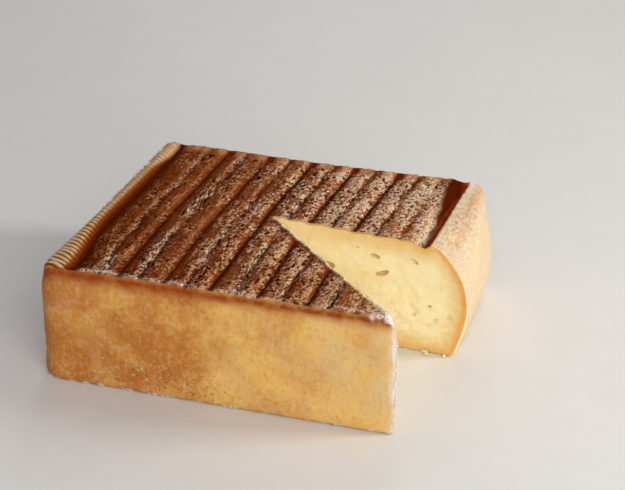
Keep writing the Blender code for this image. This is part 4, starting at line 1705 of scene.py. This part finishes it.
def places_and_normals(piece):
    normals = np.empty(len(piece.data.vertices) * 3)
    piece.data.vertices.foreach_get("normal", normals)
    return mesh_places(piece), normals.reshape(-1, 3)


def mask_values(piece, name):
    values = np.empty(len(piece.data.vertices), dtype=np.float32)
    piece.data.attributes[name].data.foreach_get("value", values)
    return values


class CHEESE_OT_block(bpy.types.Operator):
    """Model the block with its crust, rind and cut faces"""

    bl_idname = "cheese.block"
    bl_label = "Cheese block"

    def execute(self, context):
        scene = context.scene
        block = scene.cheese_block
        piece = model_block(block)
        skin = skin_material(scene.cheese_crust, scene.cheese_rind)
        paste = paste_material(scene.cheese_paste)
        piece.data.materials.append(skin)
        notch = model_notch_cutter(block)
        notch.data.materials.append(paste)
        cut_away(piece, notch)
        eyes = model_eyes(block, scene.cheese_paste)
        eyes.data.materials.append(paste)
        cut_away(piece, eyes)
        write_masks(piece, block_masks(mesh_places(piece), block))
        looks = list(piece.data.materials)
        numbers = np.empty(len(piece.data.polygons), dtype=int)
        piece.data.polygons.foreach_get("material_index", numbers)
        finish_piece(piece, looks)
        piece.data.polygons.foreach_set("material_index", numbers)
        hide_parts(NODE)
        return {"FINISHED"}


class CHEESE_OT_bloom(bpy.types.Operator):
    """Scatter grains of white mould where the block's edges bloom"""

    bl_idname = "cheese.bloom"
    bl_label = "Mould bloom"

    def execute(self, context):
        settings = context.scene.cheese_bloom
        block = bpy.data.objects["cheese_block"]
        places, normals = places_and_normals(block)
        weight = np.clip(mask_values(block, "bloom") - BLOOM_LEAST, 0.0, None)
        weight += FROST_DENSITY * np.clip(mask_values(block, "frost") - FROST_LEAST, 0.0, None)
        weight *= places[:, 2] > GRAIN_FLOOR
        weight *= mask_values(block, "depth") < GRAIN_DEPTH_MOST
        on_crest = mask_values(block, "end") * (places[:, 2] > CREST_FOOT)
        weight *= on_crest < 0.5
        draw = np.random.default_rng(GRAIN_SEED)
        chosen = draw.choice(len(places), settings.grains, replace=False, p=weight / weight.sum())
        radii = settings.radius * draw.uniform(0.5, 1.5, settings.grains)
        centres = places[chosen] + normals[chosen] * radii[:, None] * 0.15
        centres[:, 2] = np.maximum(centres[:, 2], radii * GRAIN_CLEARANCE)
        shape = {"lumpiness": 0.25, "subdivisions": 1, "seed": GRAIN_SEED + 1}
        piece = scatter("mould_bloom", centres, radii, **shape)
        finish_piece(piece, [bloom_material(context.scene.cheese_crust)])
        return {"FINISHED"}


class CHEESE_OT_crumbs(bpy.types.Operator):
    """Lay crumbs of paste at the foot of the cuts"""

    bl_idname = "cheese.crumbs"
    bl_label = "Crumbs"

    def execute(self, context):
        settings = context.scene.cheese_crumbs
        draw = np.random.default_rng(CRUMB_SEED)
        radii = settings.radius * (0.5 + 1.3 * draw.uniform(size=settings.crumbs) ** 2)
        centres = []
        for number, radius in enumerate(radii):
            far = number % 2 == 0
            angle = FAR_CUT_ANGLE if far else NEAR_CUT_ANGLE
            along = draw.uniform(CRUMBS_START, FAR_CRUMBS_END if far else NEAR_CRUMBS_END)
            away = radius * 0.3 + abs(draw.normal()) * CRUMB_SPREAD
            x, y = on_cut(angle, along, -away if far else away)
            centres.append((x, y, radius * 0.75))
        shape = {"lumpiness": 0.2, "subdivisions": 2, "seed": CRUMB_SEED + 1}
        piece = scatter("cut_crumbs", np.array(centres), radii, **shape)
        finish_piece(piece, [crumb_material(context.scene.cheese_paste)])
        return {"FINISHED"}


def add_light(name, place, size, power, tint):
    deselect_all()
    bpy.ops.object.light_add(type="AREA", location=place)
    light = bpy.context.object
    light.name = name
    light.data.size = size
    light.data.energy = power
    light.data.color = tint
    light.rotation_euler = (Vector(LIT_POINT) - Vector(place)).to_track_quat("-Z", "Y").to_euler()


def add_floor(stage):
    """The pale floor, part of the stage alone."""
    deselect_all()
    bpy.ops.mesh.primitive_plane_add(size=FLOOR_SIZE, location=(0.0, 0.0, -FLOOR_DROP))
    floor = bpy.context.object
    floor.name = "floor"
    floor.data.materials.append(floor_material(stage))
    floor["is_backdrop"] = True


def add_camera(stage):
    """The camera, set from the way it looks and its distance."""
    away = Vector((
        math.sin(stage.azimuth) * math.cos(stage.elevation),
        -math.cos(stage.azimuth) * math.cos(stage.elevation),
        math.sin(stage.elevation),
    ))
    target = Vector(stage.target)
    deselect_all()
    bpy.ops.object.camera_add(location=target + away * stage.distance)
    camera = bpy.context.object
    camera.rotation_euler = (-away).to_track_quat("-Z", "Y").to_euler()
    camera.data.lens = stage.focal
    camera.data.clip_start = CAMERA_NEAREST
    bpy.context.scene.camera = camera


def add_sky():
    world = bpy.data.worlds.new("studio")
    world.use_nodes = True
    background = world.node_tree.nodes["Background"]
    background.inputs["Color"].default_value = SKY_COLOUR
    background.inputs["Strength"].default_value = SKY_STRENGTH
    bpy.context.scene.world = world


class CHEESE_OT_stage(bpy.types.Operator):
    """Set the floor, the lights and the camera"""

    bl_idname = "cheese.stage"
    bl_label = "Stage"

    def execute(self, context):
        stage = context.scene.cheese_stage
        add_floor(stage)
        for name, place, size, tint in LIGHTS:
            add_light(name, place, size, getattr(stage, name), tint)
        add_camera(stage)
        add_sky()
        context.scene.view_settings.view_transform = "Standard"
        return {"FINISHED"}


class CHEESE_PT_panel(bpy.types.Panel):
    """Lists the steps that make the cheese block"""

    bl_label = "Cheese block"
    bl_idname = "CHEESE_PT_panel"
    bl_space_type = "VIEW_3D"
    bl_region_type = "UI"
    bl_category = "Cheese"

    def draw(self, context):
        for operator in OPERATORS:
            self.layout.operator(operator.bl_idname)
        for name, group in SETTINGS.items():
            box = self.layout.box()
            box.label(text=name.replace("_", " ").capitalize())
            for prop in group.__annotations__:
                box.prop(getattr(context.scene, name), prop)


SETTINGS = {
    "cheese_block": BlockSettings,
    "cheese_crust": CrustSettings,
    "cheese_rind": RindSettings,
    "cheese_paste": PasteSettings,
    "cheese_bloom": BloomSettings,
    "cheese_crumbs": CrumbSettings,
    "cheese_stage": StageSettings,
}
OPERATORS = (CHEESE_OT_block, CHEESE_OT_bloom, CHEESE_OT_crumbs, CHEESE_OT_stage)


def register():
    for name, group in SETTINGS.items():
        bpy.utils.register_class(group)
        setattr(bpy.types.Scene, name, PointerProperty(type=group))
    for operator in OPERATORS:
        bpy.utils.register_class(operator)
    bpy.utils.register_class(CHEESE_PT_panel)


def unregister():
    bpy.utils.unregister_class(CHEESE_PT_panel)
    for operator in reversed(OPERATORS):
        bpy.utils.unregister_class(operator)
    for name, group in reversed(SETTINGS.items()):
        delattr(bpy.types.Scene, name)
        bpy.utils.unregister_class(group)


def main():
    register()
    bpy.ops.cheese.block()
    bpy.ops.cheese.bloom()
    bpy.ops.cheese.crumbs()
    bpy.ops.cheese.stage()
    boxes = {"frame": FRAME_BOX, "scene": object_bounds()}
    {name: [list(map(float, corner)) for corner in box] for name, box in boxes.items()}


if __name__ == "__main__":
    main()
